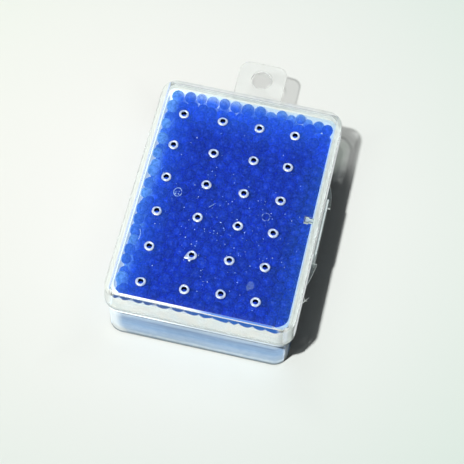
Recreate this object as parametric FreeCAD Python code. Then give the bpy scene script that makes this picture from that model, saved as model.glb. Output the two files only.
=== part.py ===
import FreeCAD, Part
import math
import os

# Hang-tab desiccant case: a drafted tray with a hinged cap lid, filled with silica gel beads.
# Millimetres. Origin at the centre of the tray's underside, +Z up, +Y towards the hang tab,
# +X towards the latch.

Vector = FreeCAD.Vector

# Case, over the lid's lower edge
CASE_W, CASE_L = 65.0, 88.8    # X and Y
CASE_R = 5.8                   # plan corner radius
HALF_W, HALF_L = CASE_W / 2, CASE_L / 2
PARTING_Z = 17.9               # closing line


def inset(x, y, radius):
    """The case outline drawn in, as half size X, half size Y and corner radius."""
    return HALF_W - x, HALF_L - y, CASE_R - radius


# Tray; each outline is half size X, half size Y, corner radius
TRAY_BASE = inset(1.4, 1.0, 0.4)
TRAY_TOP = inset(1.05, 0.9, 0.1)
TRAY_FLOOR = 1.3
TRAY_FOOT_R = 0.6
FLANGE = inset(0.25, 0.25, 0.2)
FLANGE_Z0, FLANGE_Z1 = 16.5, 17.85
RIM_BASE = (31.0, 42.9, 5.3)   # the rim stands inside the lid
RIM_TOP = (30.72, 42.62, 5.1)
RIM_TOP_Z = 24.3
RIM_EDGE_R = 0.35
MERGE = 0.2                    # overlap of the tub and the rim with the flange
CAVITY_BASE = (29.15, 41.05, 4.2)
CAVITY_TOP = (29.515, 41.415, 4.2)
CAVITY_FOOT_R = 0.9
CLEAR = 1.0                    # cutters run past the material by this
DRILL_H = 6.0

# Hang tab
TAB_W = 17.2
TAB_ROOT = 2.5                 # reach inside the case outline
TAB_END_Y = 64.5
TAB_Z0, TAB_Z1 = 16.6, 17.8
TAB_CORNER_R, TAB_EDGE_R = 3.6, 0.3
HANG_R, HANG_Y = 3.75, 57.5

# Latch guard: a fin of two arcs with a gap that the tongue hangs in
GUARD_X0, GUARD_X1 = 30.5, 40.0
GUARD_Y0, GUARD_SPLIT_Y, GUARD_Y1 = -25.0, 8.0, 25.0
GUARD_Z0, GUARD_Z1 = 16.5, 17.5
GUARD_GAP = 11.25              # half length
LOWER_R, LOWER_Y = 72.8, -0.6
LOWER_X = 35.0 - LOWER_R       # the arc would reach X 35
UPPER_R, UPPER_X, UPPER_Y = 21.3, 13.0, 11.4

# Lid
LID_Z0, LID_TOP_Z = PARTING_Z + 0.05, 27.8
LID_DRAFT = 0.4
LID_EDGE_R, LID_INNER_R = 1.5, 0.6
LID_WALL = 1.25
LID_CEILING_Z = LID_TOP_Z - 1.4
HOLLOW_DRAFT, HOLLOW_R_DRAFT = 0.36, 0.2
VENT_R = 0.95
COLLAR_R0, COLLAR_R1, COLLAR_H = 1.75, 1.35, 0.5
COLLAR_SINK = 0.1              # depth of each collar in the lid's top
RIB_X0, RIB_Y0, RIB_Y1, RIB_Z0 = 26.95, -1.1, 0.15, 24.95
RIB_FOOT_X1, RIB_FOOT_Y0, RIB_FOOT_Y1 = 28.5, -1.5, 0.55
RIB_SINK = 0.3                 # depth of the rib in the skirt and the ceiling

# Living hinge and the leaves it joins
LEAF_X0 = -32.95
TRAY_LEAF_DEPTH, LID_LEAF_DEPTH = 1.0, 0.6   # reach inside the case outline
LEAF_H = 0.75                  # above or below the closing line
LEAF_SETBACK = 0.1
HINGE_HALF, HINGE_T = 30.0, 0.4
SLIT = 0.01                    # keeps the hinge and flexure apart from their neighbours

# Latch tongue, its bead and the flexure that carries it
TONGUE_HALF = 10.9
TONGUE_X0, TONGUE_X1 = 32.65, 33.45
TONGUE_Z0, TONGUE_Z1 = 13.6, 23.6
TONGUE_EDGE_R = 0.25
HOOK_R, HOOK_Z, HOOK_HALF = 0.3, 15.4, TONGUE_HALF - 1
FLEX_SINK = 0.17
FLEX_Z0, FLEX_Z1 = 23.0, 23.45

# Vent centres, X and Y, by row from the hang tab
VENTS = [
    (-22.1, 29.9), (-8.3, 30.2), (4.6, 30.4), (17.2, 30.4),
    (-22.6, 16.8), (-8.4, 16.8), (5.5, 17.2), (17.4, 17.4),
    (-21.9, 3.7), (-8.0, 4.0), (5.1, 3.6), (17.8, 3.8),
    (-21.8, -9.9), (-7.9, -9.2), (5.9, -9.2), (18.0, -9.1),
    (-20.9, -23.7), (-6.5, -23.7), (6.1, -22.7), (18.1, -22.4),
    (-20.4, -37.2), (-5.9, -36.7), (6.1, -35.5), (17.8, -35.7),
]

BEAD_LAYERS = 15

# Settled beads: X, Y, Z and radius in hundredths of a millimetre, from the top of the bed down
BEADS = """
2350,1916,2469,160 2505,-527,2469,159 -1706,-2532,2468,160 491,-1762,2468,161
2041,-1819,2466,162 -1955,-2764,2465,164 -1798,-325,2464,163 146,2795,2462,163
-1513,-510,2462,166 -2558,-496,2460,164 -2028,-2432,2460,168 -970,-1821,2458,171
2376,2253,2458,170 604,-847,2458,171 1185,1359,2457,171 507,3589,2457,173
1888,849,2456,172 822,-143,2456,170 -1123,1387,2456,172 -956,-3076,2456,172
1738,-3962,2456,172 2027,-914,2456,173 -86,-1433,2456,173 1052,-1344,2454,175
-579,-162,2454,176 1099,2513,2454,175 -364,-3960,2454,171 -781,-639,2454,171
2477,906,2454,147 77,-1789,2454,175 654,-2067,2453,175 1750,3959,2453,175
836,-1758,2453,175 2768,-2842,2452,176 1960,-3362,2452,177 269,-1483,2452,174
-1926,-3504,2451,178 -1272,2545,2450,179 -1139,1000,2450,178 1116,-350,2449,180
-2765,-2848,2449,179 204,-3234,2449,179 1057,-2734,2449,179 -2765,1421,2449,181
-1125,-2533,2449,178 -2764,2672,2448,179 -2687,-2084,2448,180 125,-2549,2448,180
-1261,-762,2448,179 -2072,261,2447,181 -1795,3953,2447,181 -1325,-1452,2447,180
-1427,-2319,2446,182 -244,-1969,2445,184 -432,-533,2445,182 568,-3308,2445,183
-74,2030,2445,184 344,1424,2445,183 -1945,-650,2445,183 1724,61,2445,181
-2761,170,2445,183 -1032,2161,2444,183 1960,2901,2443,184 511,-2700,2443,185
1311,-668,2443,183 -1245,-3680,2442,186 1677,-2349,2442,185 -272,2760,2442,185
-1641,2478,2441,186 1818,1578,2441,188 972,-840,2441,185 -2562,-3944,2441,188
2412,-2708,2441,188 -452,-917,2440,189 -611,-1742,2440,188 1080,3946,2440,188
35,-3946,2440,189 -1548,2851,2440,189 -937,-1448,2440,189 -2203,-93,2440,187
-519,1420,2439,190 -196,-3636,2439,186 87,-2163,2439,187 -2064,1433,2439,189
1851,2374,2439,188 888,3612,2439,188 2023,-2179,2438,191 -1634,-1227,2438,190
771,-2983,2438,191 -1543,-3944,2438,190 1123,3300,2438,188 1264,-2419,2438,190
1280,-3039,2438,189 -596,2968,2438,190 2032,-3732,2437,189 -2253,-1702,2437,191
-363,1777,2437,190 1442,-2045,2437,189 1401,3033,2437,190 -558,216,2437,191
-586,-3659,2437,192 -2745,-1258,2436,191 1503,-1386,2436,190 1365,3609,2436,193
2752,2947,2436,192 -708,1956,2436,190 -2353,-1208,2436,192 1959,1217,2436,192
-840,613,2436,192 -2437,1651,2436,191 -2318,-814,2435,194 2364,-3941,2435,193
-88,2416,2435,193 2751,1571,2435,194 645,-1433,2435,191 2381,-1277,2435,194
-2336,2033,2435,194 -965,3941,2435,193 710,631,2435,193 1293,-1054,2434,193
768,-510,2434,193 -759,999,2434,194 875,209,2434,175 2749,-3569,2433,195
2749,2549,2433,194 2716,3343,2433,196 -1229,538,2433,194 1289,-7,2432,195
1994,-2573,2432,195 1688,-1734,2432,194 2745,3744,2431,198 2407,-877,2431,195
-1829,-1818,2431,193 1582,2678,2431,195 -2747,-2465,2431,195 -609,-3229,2430,198
-832,3288,2430,197 -1086,-2163,2430,184 1649,-870,2429,198 -408,796,2428,200
884,-3616,2428,199 2337,-200,2427,199 2713,1974,2427,200 -132,3127,2427,200
-1495,843,2426,200 -2742,2059,2426,202 738,1442,2426,202 -2008,2634,2426,202
404,-335,2426,201 -2412,1235,2426,202 254,1809,2425,203 -1067,1768,2425,203
-2293,-3640,2424,203 806,-2433,2424,204 -2030,3544,2424,203 2345,-3303,2424,205
-2038,-3130,2424,202 -1345,3469,2424,204 -964,225,2423,202 2230,2609,2423,205
-1402,2017,2423,205 -2447,-3075,2423,202 -167,-58,2423,206 -2190,3928,2423,205
-2241,796,2423,203 -1799,1884,2423,205 1534,-2721,2422,205 -558,3928,2422,206
-922,2725,2422,205 -1768,1158,2422,206 2380,3106,2422,204 314,3927,2421,206
2736,-1968,2420,206 -1206,3071,2420,209 -2736,737,2420,208 -191,-3232,2419,207
1124,2121,2419,210 1523,719,2419,209 2374,1280,2419,208 2068,-2982,2418,206
1671,-3113,2417,198 1173,970,2417,210 -2732,-844,2416,213 1233,-1697,2416,210
1983,-1438,2416,212 -2446,420,2416,211 -2731,-1686,2415,213 -33,-465,2415,213
-1833,586,2415,212 -2329,3241,2415,212 264,3280,2415,213 2730,-2448,2414,211
1849,3295,2414,213 2730,440,2414,214 -1637,-2982,2413,213 1006,2900,2413,215
474,285,2413,213 1543,1194,2413,213 -2762,-204,2412,182 -913,-3918,2412,215
-521,-1337,2411,218 2151,3614,2411,215 768,1869,2410,215 2307,571,2409,217
254,-3616,2409,199 -254,-2404,2409,219 -368,-2838,2409,216 -1304,-3271,2408,219
-1411,-1908,2407,222 373,-1127,2407,188 2722,-1530,2407,221 1120,532,2406,221
-1386,3912,2406,222 -2721,3446,2406,219 -857,-1035,2405,223 -1719,3244,2405,222
82,1054,2405,221 -687,-2278,2405,223 -2278,-2122,2405,223 -654,2377,2405,224
1514,1912,2405,222 -1959,-3915,2405,219 1871,446,2405,223 -2624,3884,2405,221
570,-3911,2405,223 -1582,209,2405,221 706,3232,2405,223 -24,-984,2405,221
-2721,-3556,2405,224 443,2200,2405,222 1622,-341,2405,223 684,2588,2405,223
-1540,1532,2405,222 1301,-3735,2405,222 -122,3911,2405,221 -1142,-371,2405,221
534,1058,2405,221 28,343,2405,221 1966,1971,2405,221 -2362,-2647,2405,222
1465,2317,2396,175 -2391,2813,2391,213 2084,-533,2390,209 -64,1486,2387,222
-1961,-1440,2386,196 -1983,-1035,2382,201 -2000,2233,2380,192 -66,3507,2379,178
2779,-690,2373,165 -1250,-1110,2372,169 1149,1714,2364,187 307,683,2363,206
422,-2338,2348,189 2405,-2198,2343,193 1477,322,2340,185 2191,1627,2338,184
2737,-1100,2333,205 2380,-1775,2333,197 -1625,-842,2332,199 1040,-2082,2330,219
-2476,61,2321,138 -1772,-2200,2321,196 -794,-2732,2321,221 1002,-3264,2311,182
-72,709,2309,159 -831,1323,2308,152 -2744,3032,2306,197 -925,-3470,2301,211
1689,-3588,2296,198 1425,3955,2294,178 49,-2906,2289,209 291,-709,2289,202
2557,96,2286,183 -1675,3640,2280,184 424,-3009,2280,167 -1873,-46,2279,172
2750,1209,2279,191 2758,824,2279,185 212,-15,2278,192 2692,-3896,2264,170
-368,2133,2264,168 -2105,1102,2264,160 -2239,-451,2262,204 885,1146,2260,155
-2784,2385,2259,157 2726,-3189,2259,215 2190,949,2257,191 -1564,-3610,2253,181
-2404,2401,2251,213 2718,-287,2247,221 1979,-155,2247,196 981,-3946,2243,183
-1514,-195,2242,207 -465,3297,2240,207 436,2920,2237,213 2415,3918,2236,213
2027,3964,2236,168 -1011,3574,2231,186 -1535,-2671,2230,154 -2143,509,2224,147
345,-1980,2222,188 -1344,1213,2218,187 -241,-721,2218,160 697,3908,2214,222
2434,-3631,2213,186 1369,-3355,2213,197 501,1633,2212,158 -2750,1721,2211,190
2094,3107,2209,144 2393,-2988,2209,168 -2373,3601,2207,196 -342,3654,2205,164
-1871,2919,2205,176 -775,-364,2204,189 -2123,1750,2202,202 818,-1140,2202,214
-418,-3444,2197,162 1771,3659,2196,211 2489,2446,2196,163 1693,2996,2195,178
-2458,-1488,2194,182 232,2529,2194,214 -294,-1650,2194,215 -961,-728,2191,152
1277,2695,2190,183 -2730,1098,2189,210 1520,1546,2188,195 -468,1118,2187,194
-1037,2431,2187,181 2076,-1135,2186,170 -1610,-1561,2185,214 -590,-3954,2181,174
-2274,-3330,2180,182 1500,3334,2179,198 -1265,-3948,2178,182 -622,2709,2178,170
-330,2522,2173,167 2521,1498,2171,143 -1147,-24,2168,190 -338,456,2168,221
-211,-1258,2168,175 1012,1440,2167,166 599,-36,2166,203 779,2259,2165,185
1010,-2938,2164,165 1748,840,2164,143 -2454,-1851,2164,171 2137,-2380,2164,156
-1835,-2561,2163,163 -2297,-3943,2163,187 1003,-26,2163,186 2180,215,2161,221
-390,73,2159,155 -1052,736,2156,170 -1646,2213,2155,195 -2734,-3199,2150,204
-2103,-2828,2150,174 -739,389,2150,176 -2531,-2323,2149,176 1340,-236,2149,162
1873,2651,2146,205 2188,-2716,2146,168 2603,-824,2143,145 596,-3556,2141,201
309,3583,2141,189 -1291,2211,2140,148 2000,-1719,2140,173 -2535,-1057,2139,179
-1147,-1652,2138,221 -759,1662,2138,221 -2747,399,2137,191 -1511,545,2137,206
-1753,857,2136,176 1690,-1183,2136,209 -1233,1562,2136,179 2129,2291,2135,221
-903,3019,2134,197 -1228,2768,2134,200 939,-1550,2134,209 -30,-1977,2133,182
-783,-1943,2132,209 2405,-531,2132,182 1819,-2756,2131,188 -385,-297,2131,205
-125,1816,2130,190 -1774,-3291,2130,213 51,-2371,2129,180 -759,15,2128,189
-2050,3227,2128,179 1198,3104,2127,176 331,-3294,2125,162 1471,912,2125,137
694,-3179,2124,174 1073,3507,2124,181 1557,-3931,2124,198 -658,752,2124,186
-601,-720,2124,202 27,2897,2123,202 485,-1323,2123,164 -678,3706,2121,177
-2165,-2410,2119,188 2399,3406,2119,210 1240,2340,2118,172 2373,1889,2118,185
1706,2180,2118,203 688,-2790,2118,183 -2528,2000,2117,169 2085,-3940,2117,188
2228,-837,2117,158 2769,3536,2117,170 -2765,11,2116,174 1638,-1954,2115,185
2654,2756,2114,187 -1489,-1122,2113,172 71,2154,2113,190 1427,-2274,2113,190
2749,2213,2111,188 -399,-2125,2110,207 -2014,-1957,2109,195 -2719,-525,2108,216
1298,2012,2107,151 1195,-887,2106,177 -1055,-1251,2105,180 2010,667,2102,165
2497,-2542,2101,179 734,844,2101,193 2258,-1448,2100,194 2151,1292,2100,170
322,-2648,2100,199 -1180,-2729,2099,217 -14,-3481,2098,220 978,1972,2098,162
843,460,2097,192 709,-2029,2097,178 -1511,1812,2096,185 860,-755,2096,172
-1526,3032,2096,187 158,-1184,2094,182 1563,-1571,2093,191 190,-355,2093,184
1195,284,2091,176 -369,1515,2091,189 1796,-2380,2091,177 -1834,-450,2091,220
1077,-3586,2090,181 -196,-3896,2090,222 -546,-3036,2089,190 252,-3912,2089,214
-2787,3745,2088,150 138,-1597,2088,221 -2757,-2034,2088,182 -2736,-2684,2087,203
557,-1679,2086,189 1272,-1279,2086,211 1459,-589,2084,202 -2466,693,2083,208
-815,2117,2082,206 2754,-2819,2082,185 264,1414,2082,178 2742,1762,2082,196
-2777,-1309,2082,160 -141,3219,2081,148 -1138,371,2081,197 1024,-416,2079,197
-612,-1111,2078,183 2056,-3519,2078,221 -2443,-161,2077,183 -1235,-3591,2077,181
1989,-2074,2077,176 -2195,2111,2076,175 2759,-1773,2076,180 547,1962,2075,189
-1877,296,2075,216 -1416,-3061,2074,181 -367,2946,2074,184 2734,3146,2073,205
-2466,1460,2073,210 -1502,-2354,2072,190 -2679,-3859,2071,201 -666,-3633,2070,164
22,-820,2070,144 -1599,2610,2069,200 -1152,1915,2069,177 1153,-2588,2069,217
-2189,-1229,2068,201 1718,-3275,2067,181 1115,777,2065,183 -1796,1552,2065,193
-1349,3662,2065,191 1453,-2961,2064,220 2742,3861,2063,151 1631,-9,2062,208
1851,-778,2062,219 -954,-3105,2061,214 -884,1069,2061,197 2446,-1112,2060,184
2376,3026,2058,159 -2437,-2935,2057,179 796,1687,2056,171 -1690,1193,2054,164
-1630,-3934,2054,193 -211,-2656,2054,204 2715,-2199,2052,220 588,-462,2052,222
-728,-1512,2052,221 232,1773,2044,171 -2711,2699,2041,221 -1415,904,2039,168
-1154,-513,2037,162 -1999,2467,2037,212 -1185,-2089,2035,217 -2188,2834,2035,184
-1955,3574,2035,184 2389,-135,2035,188 2465,1113,2034,188 -1210,3281,2034,207
-2111,-808,2034,220 570,3238,2034,164 1305,1221,2033,215 1907,1654,2033,224
-2330,238,2032,222 1766,1192,2031,221 473,-964,2030,196 772,-2434,2030,182
2442,-3958,2029,170 113,672,2029,168 -996,3920,2027,205 1453,577,2026,203
-2000,1276,2026,145 -881,-2412,2026,214 -1756,-2888,2026,190 -298,3952,2024,177
-1645,3380,2023,173 -2098,3933,2023,194 -2481,3945,2023,182 1108,3905,2022,223
100,3915,2021,212 -1998,-1577,2021,184 2265,2686,2020,193 648,1323,2019,213
967,2535,2019,168 2756,517,2018,181 -91,1207,2015,220 -1807,-1255,2014,177
2740,-1363,2013,197 2280,1579,2011,148 1250,-1808,2011,199 -62,3544,2010,184
-2390,-3628,2009,166 2136,3696,2009,188 324,1013,2008,222 820,2906,2008,220
-2426,3152,2007,206 -603,2417,2005,159 591,2569,2004,178 471,569,2000,193
1784,-381,1999,176 -2742,-1660,1999,194 -2751,3413,1998,183 2416,-3302,1997,197
172,289,1992,208 2066,-3060,1991,220 1533,2511,1988,182 2386,694,1988,220
2761,154,1988,174 682,-3925,1985,201 1992,3341,1985,187 -1478,146,1978,212
1814,364,1976,206 -923,-3918,1976,209 -68,-64,1976,210 1191,1700,1975,194
-470,1921,1971,194 -594,-2681,1969,175 -765,3363,1957,202 -1681,3904,1956,222
-293,833,1954,200 1543,-2587,1954,165 645,3581,1953,187 -1201,-898,1952,218
-1854,-2276,1951,179 419,-2273,1949,205 -2751,2232,1944,186 -116,-531,1942,189
1548,1847,1941,182 1916,-1437,1940,172 -2053,-3519,1939,183 -1681,-1871,1938,178
954,1090,1936,162 196,3240,1936,211 2747,1395,1934,191 -2086,-3119,1932,181
2738,-576,1931,198 -261,2257,1931,191 -2056,-97,1930,214 -2314,1075,1929,221
-280,-957,1928,204 2316,-2184,1927,190 -1468,1410,1927,160 2397,-1788,1925,201
2742,-3786,1923,182 -1369,-1393,1923,171 -986,1407,1923,171 2443,2178,1922,163
1998,2955,1918,187 2490,3716,1914,164 -892,2670,1913,200 1394,-3656,1912,177
-1865,1944,1910,222 -1507,-2671,1909,152 2755,875,1908,182 1546,3903,1906,222
265,-665,1901,180 40,-2901,1898,171 -117,2604,1897,178 -2493,-788,1897,175
1028,-3228,1896,220 2115,-517,1896,179 -1719,-907,1896,191 381,2267,1895,194
1931,3966,1893,160 -2348,1793,1893,174 -1330,-219,1891,175 1068,-2178,1891,223
-2745,-3507,1888,191 -344,-3575,1888,173 -1208,1137,1885,170 -2324,-2113,1881,209
-2003,-3914,1880,211 -880,-667,1880,161 -2085,634,1879,217 428,-3008,1876,220
975,182,1869,143 -1485,-572,1868,204 1193,-58,1868,157 -623,1307,1867,197
889,3293,1866,190 -494,-1811,1864,193 2110,998,1863,197 -1266,2448,1862,207
-1431,2087,1861,176 -2478,-1356,1858,167 -880,577,1858,190 2754,-3420,1856,180
461,2973,1855,161 2046,-141,1853,190 1090,-3911,1852,213 -423,3644,1852,187
-1807,2854,1851,179 628,227,1850,198 -441,-1326,1849,164 19,1563,1848,174
-984,-1832,1847,146 -643,3946,1847,178 -2369,2519,1846,199 1029,1392,1845,150
2102,1985,1845,192 -2292,-449,1844,208 2746,-191,1844,186 340,-72,1843,204
2408,-3655,1843,177 326,-1887,1842,187 1316,3559,1841,187 -1060,3588,1841,173
479,3925,1840,200 -234,-3186,1840,220 2156,-1185,1840,179 1711,802,1840,175
-1587,-3571,1839,223 -922,-298,1839,202 -342,198,1838,183 -122,-1783,1836,171
722,-1363,1836,196 319,-3577,1835,203 -391,3254,1832,195 495,1646,1831,179
-468,2684,1829,179 -2391,-1709,1828,186 2472,315,1828,185 1812,-1771,1827,183
884,-1754,1827,155 -2423,3516,1826,189 1188,2791,1825,192 -73,-1336,1825,195
-2002,-2637,1824,207 -2728,1847,1824,207 -2428,-2531,1822,217 1377,-1009,1821,171
-2753,617,1820,181 2428,-2835,1820,223 -1905,1010,1819,191 1409,2184,1817,195
1362,886,1817,173 -719,233,1817,180 1604,2880,1816,219 -563,-115,1815,190
2429,-807,1815,195 1725,-3028,1814,146 -662,-2150,1813,179 1097,502,1813,180
-2378,-3962,1813,162 -2397,-3313,1812,192 -1802,3186,1811,144 1472,-289,1810,192
1824,-3809,1810,220 -667,-3336,1810,221 -685,2996,1809,187 77,-2554,1809,178
-2736,-1071,1809,196 2742,-2546,1808,193 2764,-3060,1808,172 2098,-2525,1807,220
923,-1007,1806,203 -850,-1195,1806,177 1871,2413,1806,200 818,-154,1803,221
-1320,-3937,1802,187 -2729,-214,1802,202 -1016,885,1801,140 -2756,3096,1800,178
-364,-2385,1799,189 1461,-2057,1799,181 818,-3592,1799,196 48,-2165,1798,195
321,-1358,1796,190 -1237,-3298,1796,208 -1274,639,1794,206 -506,540,1792,182
2711,2496,1792,223 -648,-899,1792,167 1522,1488,1790,194 1543,-1336,1790,184
-531,-3909,1788,213 -2737,205,1788,196 -1060,2991,1788,172 1639,3325,1787,207
1841,3657,1786,171 1718,-1029,1785,162 2746,-1041,1784,189 2256,2412,1784,157
-973,-3587,1783,168 -2093,3340,1782,177 2512,2861,1781,181 -2420,2136,1780,185
-2164,1473,1779,202 267,2655,1777,209 96,-984,1777,189 -1997,-1093,1776,155
-1602,1678,1774,162 2769,3567,1774,166 -1026,-1513,1774,176 -1303,3941,1773,183
141,-3250,1773,158 -2662,-2818,1772,137 -916,1872,1771,195 1748,2074,1771,155
557,-2613,1771,191 767,2305,1768,203 -2723,1017,1768,211 638,-746,1767,175
-1093,91,1767,211 -2322,-1055,1766,160 -1420,2831,1765,206 1092,-1477,1765,185
-1485,-2126,1765,175 -1623,-3154,1765,192 2206,-3947,1763,176 1183,-663,1763,219
1257,3181,1759,194 2440,-390,1759,180 254,3605,1757,190 1189,-2864,1757,188
2769,-1627,1756,164 -1591,842,1756,159 -1241,1635,1756,194 -1346,-1746,1755,207
-1234,-2441,1753,219 -1624,-2429,1752,148 -2734,1435,1752,199 1449,-3282,1751,220
-2744,-3141,1751,188 -1664,475,1751,198 -1698,2356,1750,208 -500,-537,1750,215
-657,906,1749,208 1408,241,1749,220 2745,2079,1747,186 2112,222,1747,186
1055,2002,1745,192 1804,-2226,1745,193 2443,-1424,1745,197 -609,1660,1745,169
967,3640,1743,176 -2492,2862,1742,171 2486,1755,1740,221 681,1937,1739,166
-2708,3802,1738,202 1461,-3956,1733,168 30,-3929,1733,194 281,1942,1733,175
588,-1682,1732,152 -893,-2714,1732,197 -1695,-233,1732,208 -1717,-1525,1731,213
261,654,1731,148 2031,618,1728,202 -1474,3237,1727,190 -1503,1151,1725,155
-93,517,1725,222 2313,1339,1724,215 2275,3189,1724,213 1132,2430,1723,176
-2716,-2211,1723,215 -123,1914,1723,216 713,773,1721,182 895,1667,1720,170
-1781,1364,1719,186 374,1310,1717,185 21,929,1716,193 1912,1397,1714,175
-90,2976,1713,217 -551,-2944,1713,182 2115,1660,1712,148 1467,-1696,1711,178
-2750,-602,1704,180 -1496,3621,1703,187 828,3957,1701,165 -525,2385,1700,139
-1568,-1172,1699,161 679,-2043,1699,213 572,-3328,1698,165 -251,-250,1698,160
946,-2548,1693,201 1888,-3351,1693,212 1627,-656,1690,216 -2008,-1858,1689,221
-887,2302,1689,222 -2090,2297,1685,182 420,-3934,1684,188 2468,965,1682,179
-2763,-1434,1681,169 -315,1120,1680,184 -1283,-2885,1678,216 2246,3908,1677,213
2361,-43,1677,173 -1919,-607,1675,218 960,3010,1673,145 -931,1172,1673,169
-2327,-2933,1672,205 46,2306,1671,202 -2139,-1432,1668,213 -742,3617,1668,172
-1142,-571,1668,179 -2287,-3653,1667,182 2106,-1973,1664,198 -306,-1562,1664,155
864,2676,1664,179 534,-1074,1663,175 -2748,2534,1662,184 102,-355,1662,198
-2689,-3833,1661,200 2440,-2398,1659,165 -1658,125,1658,147 -213,-2756,1658,194
2718,-2001,1657,210 2039,-838,1655,218 -2032,3726,1654,223 1357,-2429,1654,214
1684,512,1652,161 -2013,255,1651,219 -282,-2046,1651,178 -62,3396,1651,193
2550,-3943,1651,176 -935,-3081,1651,171 -1201,-1194,1650,196 -2130,2969,1650,208
-1697,-2805,1650,167 -2421,455,1649,216 1202,1564,1644,155 -2392,0,1644,219
847,-507,1642,156 800,-2943,1641,215 2709,3198,1639,221 -230,3919,1638,202
2654,3884,1637,189 -1672,-3931,1637,191 1774,47,1636,197 2738,521,1634,191
1151,-1866,1634,181 1145,1137,1633,191 1724,-2614,1633,190 -2740,-1802,1632,191
466,3304,1631,190 -1889,1675,1631,141 -2369,3949,1629,173 1781,1744,1629,194
159,3945,1629,176 1169,-3570,1627,185 738,1159,1627,206 1149,-286,1625,163
-2750,3431,1625,179 -964,-891,1621,181 -151,-736,1620,183 1616,1120,1618,214
269,-2764,1618,151 -949,3927,1617,195 -823,-1937,1617,144 -1801,-2189,1614,165
2177,2779,1612,194 -1944,-3051,1608,172 2750,1196,1608,181 2324,-3201,1608,205
-1147,-2064,1606,187 505,-388,1606,200 -585,2014,1605,189 321,317,1604,198
1482,2514,1604,193 2036,3456,1602,155 -966,3306,1602,195 2061,-1559,1600,207
398,946,1598,188 1189,3920,1598,201 6,-3023,1597,146 -2457,3196,1596,185
-1267,-3638,1595,171 -676,-1554,1593,211 2775,1542,1592,157 1390,1861,1592,190
-868,-2355,1590,179 656,2999,1586,162 -1247,1970,1586,167 2387,621,1586,169
-906,1527,1584,183 1179,-1143,1582,155 1917,-1208,1579,163 -2149,1911,1578,206
-302,2219,1577,153 2132,-360,1577,160 -1396,-853,1574,195 2447,3545,1574,202
239,1620,1573,174 1990,-2931,1572,211 1534,-3647,1570,180 -1923,-3537,1569,201
-271,1524,1569,221 -214,-1094,1568,173 -2740,2162,1566,190 -51,97,1564,221
-2463,1660,1564,187 1511,-2923,1563,180 1351,618,1561,187 2713,109,1561,217
-574,-1165,1560,184 -1352,325,1558,183 -730,611,1557,138 -2284,849,1557,202
675,-2376,1555,141 792,-3924,1554,197 2361,2137,1553,209 -704,-297,1552,148
816,435,1551,202 1072,75,1550,196 -796,5,1549,154 1857,3935,1547,186
-2327,-750,1547,200 -189,-3499,1545,201 627,3667,1544,208 -1398,-54,1543,178
-1085,2668,1542,211 2725,-718,1542,206 -974,-3901,1541,218 -561,-2601,1541,192
288,2974,1540,181 -1774,3408,1538,192 2446,-1087,1535,192 -2056,-236,1535,192
67,-1607,1535,215 -549,-1888,1534,138 -1681,3930,1534,191 -101,-2391,1533,172
-1634,-1894,1533,171 1890,3078,1532,217 -2041,1196,1532,165 2731,-3628,1529,198
-447,2925,1528,169 -1237,972,1527,213 -1381,2288,1526,173 2269,-3575,1526,169
2748,-1321,1526,182 2419,-1758,1525,190 -2732,-2587,1525,199 1818,2680,1524,179
-907,320,1524,163 640,1524,1523,173 -1636,1977,1522,218 -2168,-2318,1520,223
68,1316,1519,169 -676,2627,1519,190 1533,3691,1518,209 1490,-1126,1518,152
-2431,1247,1517,216 329,-766,1515,212 -1335,1360,1513,174 -1929,2618,1512,207
892,-3328,1512,187 307,-2391,1507,221 -1820,-2516,1506,168 -2494,-1243,1504,192
-2379,-1950,1503,192 2755,-330,1503,173 -238,2591,1503,217 1692,-1508,1503,168
461,2254,1497,200 -2452,-1598,1496,157 821,3323,1491,181 -1760,-923,1490,173
-907,-3397,1489,175 2741,2790,1489,186 1341,-1432,1488,179 497,620,1488,161
-2630,-3443,1486,221 2086,2428,1485,177 1966,2069,1485,187 156,-1215,1484,177
-1173,3627,1484,192 2344,-624,1482,181 656,67,1481,194 405,-1824,1480,180
1589,2166,1480,176 -1186,-1510,1479,146 -1736,1009,1477,182 -2430,-372,1475,182
-1711,2994,1474,221 -2365,3591,1474,167 -1438,-427,1474,194 864,-1649,1472,204
-1923,652,1471,207 511,-1459,1469,187 2765,1848,1469,165 -2054,-2758,1466,162
841,-1231,1464,203 -582,3286,1464,206 2065,-2293,1463,171 1751,-1923,1463,204
-2147,-1081,1461,178 2706,-2788,1461,222 2028,1106,1461,212 -1078,-251,1461,198
-833,2972,1460,179 -540,342,1460,193 2724,-3223,1459,205 -2059,-3915,1458,205
1778,-323,1458,204 -359,771,1457,219 1008,793,1457,204 1432,-97,1456,199
963,-870,1455,168 -2373,2299,1454,172 -625,-3666,1453,203 1189,-3931,1453,186
2451,2531,1452,196 972,1414,1450,170 -1834,-1273,1449,175 -2767,1823,1449,161
303,-87,1446,183 -2333,2673,1443,197 800,2080,1442,176 -624,1268,1440,216
529,2667,1438,211 -1248,3055,1438,207 -268,-3903,1438,215 495,1853,1437,185
2291,-2666,1437,203 2731,-2358,1434,197 -762,-619,1434,192 2738,858,1433,191
225,-3433,1433,220 -2713,-894,1432,213 -2227,-3267,1432,210 -1513,677,1431,194
1153,3065,1430,161 1384,-2082,1429,185 -2706,733,1429,221 -1123,595,1428,184
2093,-40,1427,184 1437,3303,1426,193 617,-3593,1426,190 1929,358,1422,198
-440,-64,1420,216 2389,-2132,1420,185 -929,-1319,1418,168 2759,-1666,1418,168
-968,-1734,1418,164 -1545,-3040,1416,174 892,-227,1416,165 1151,-2729,1416,170
-743,-2911,1415,166 1776,3427,1415,156 85,3658,1414,178 -2476,1979,1412,157
-1493,2630,1412,193 -2713,2855,1412,216 2231,1777,1408,183 2342,280,1407,209
-2136,3303,1404,196 155,2559,1402,170 1820,745,1402,196 -1362,-3932,1401,186
-271,-1778,1401,176 -587,3901,1400,218 -2727,-122,1400,200 -290,-456,1399,192
1324,-822,1399,190 1236,-3254,1398,175 33,-570,1398,136 2500,1527,1396,173
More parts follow.
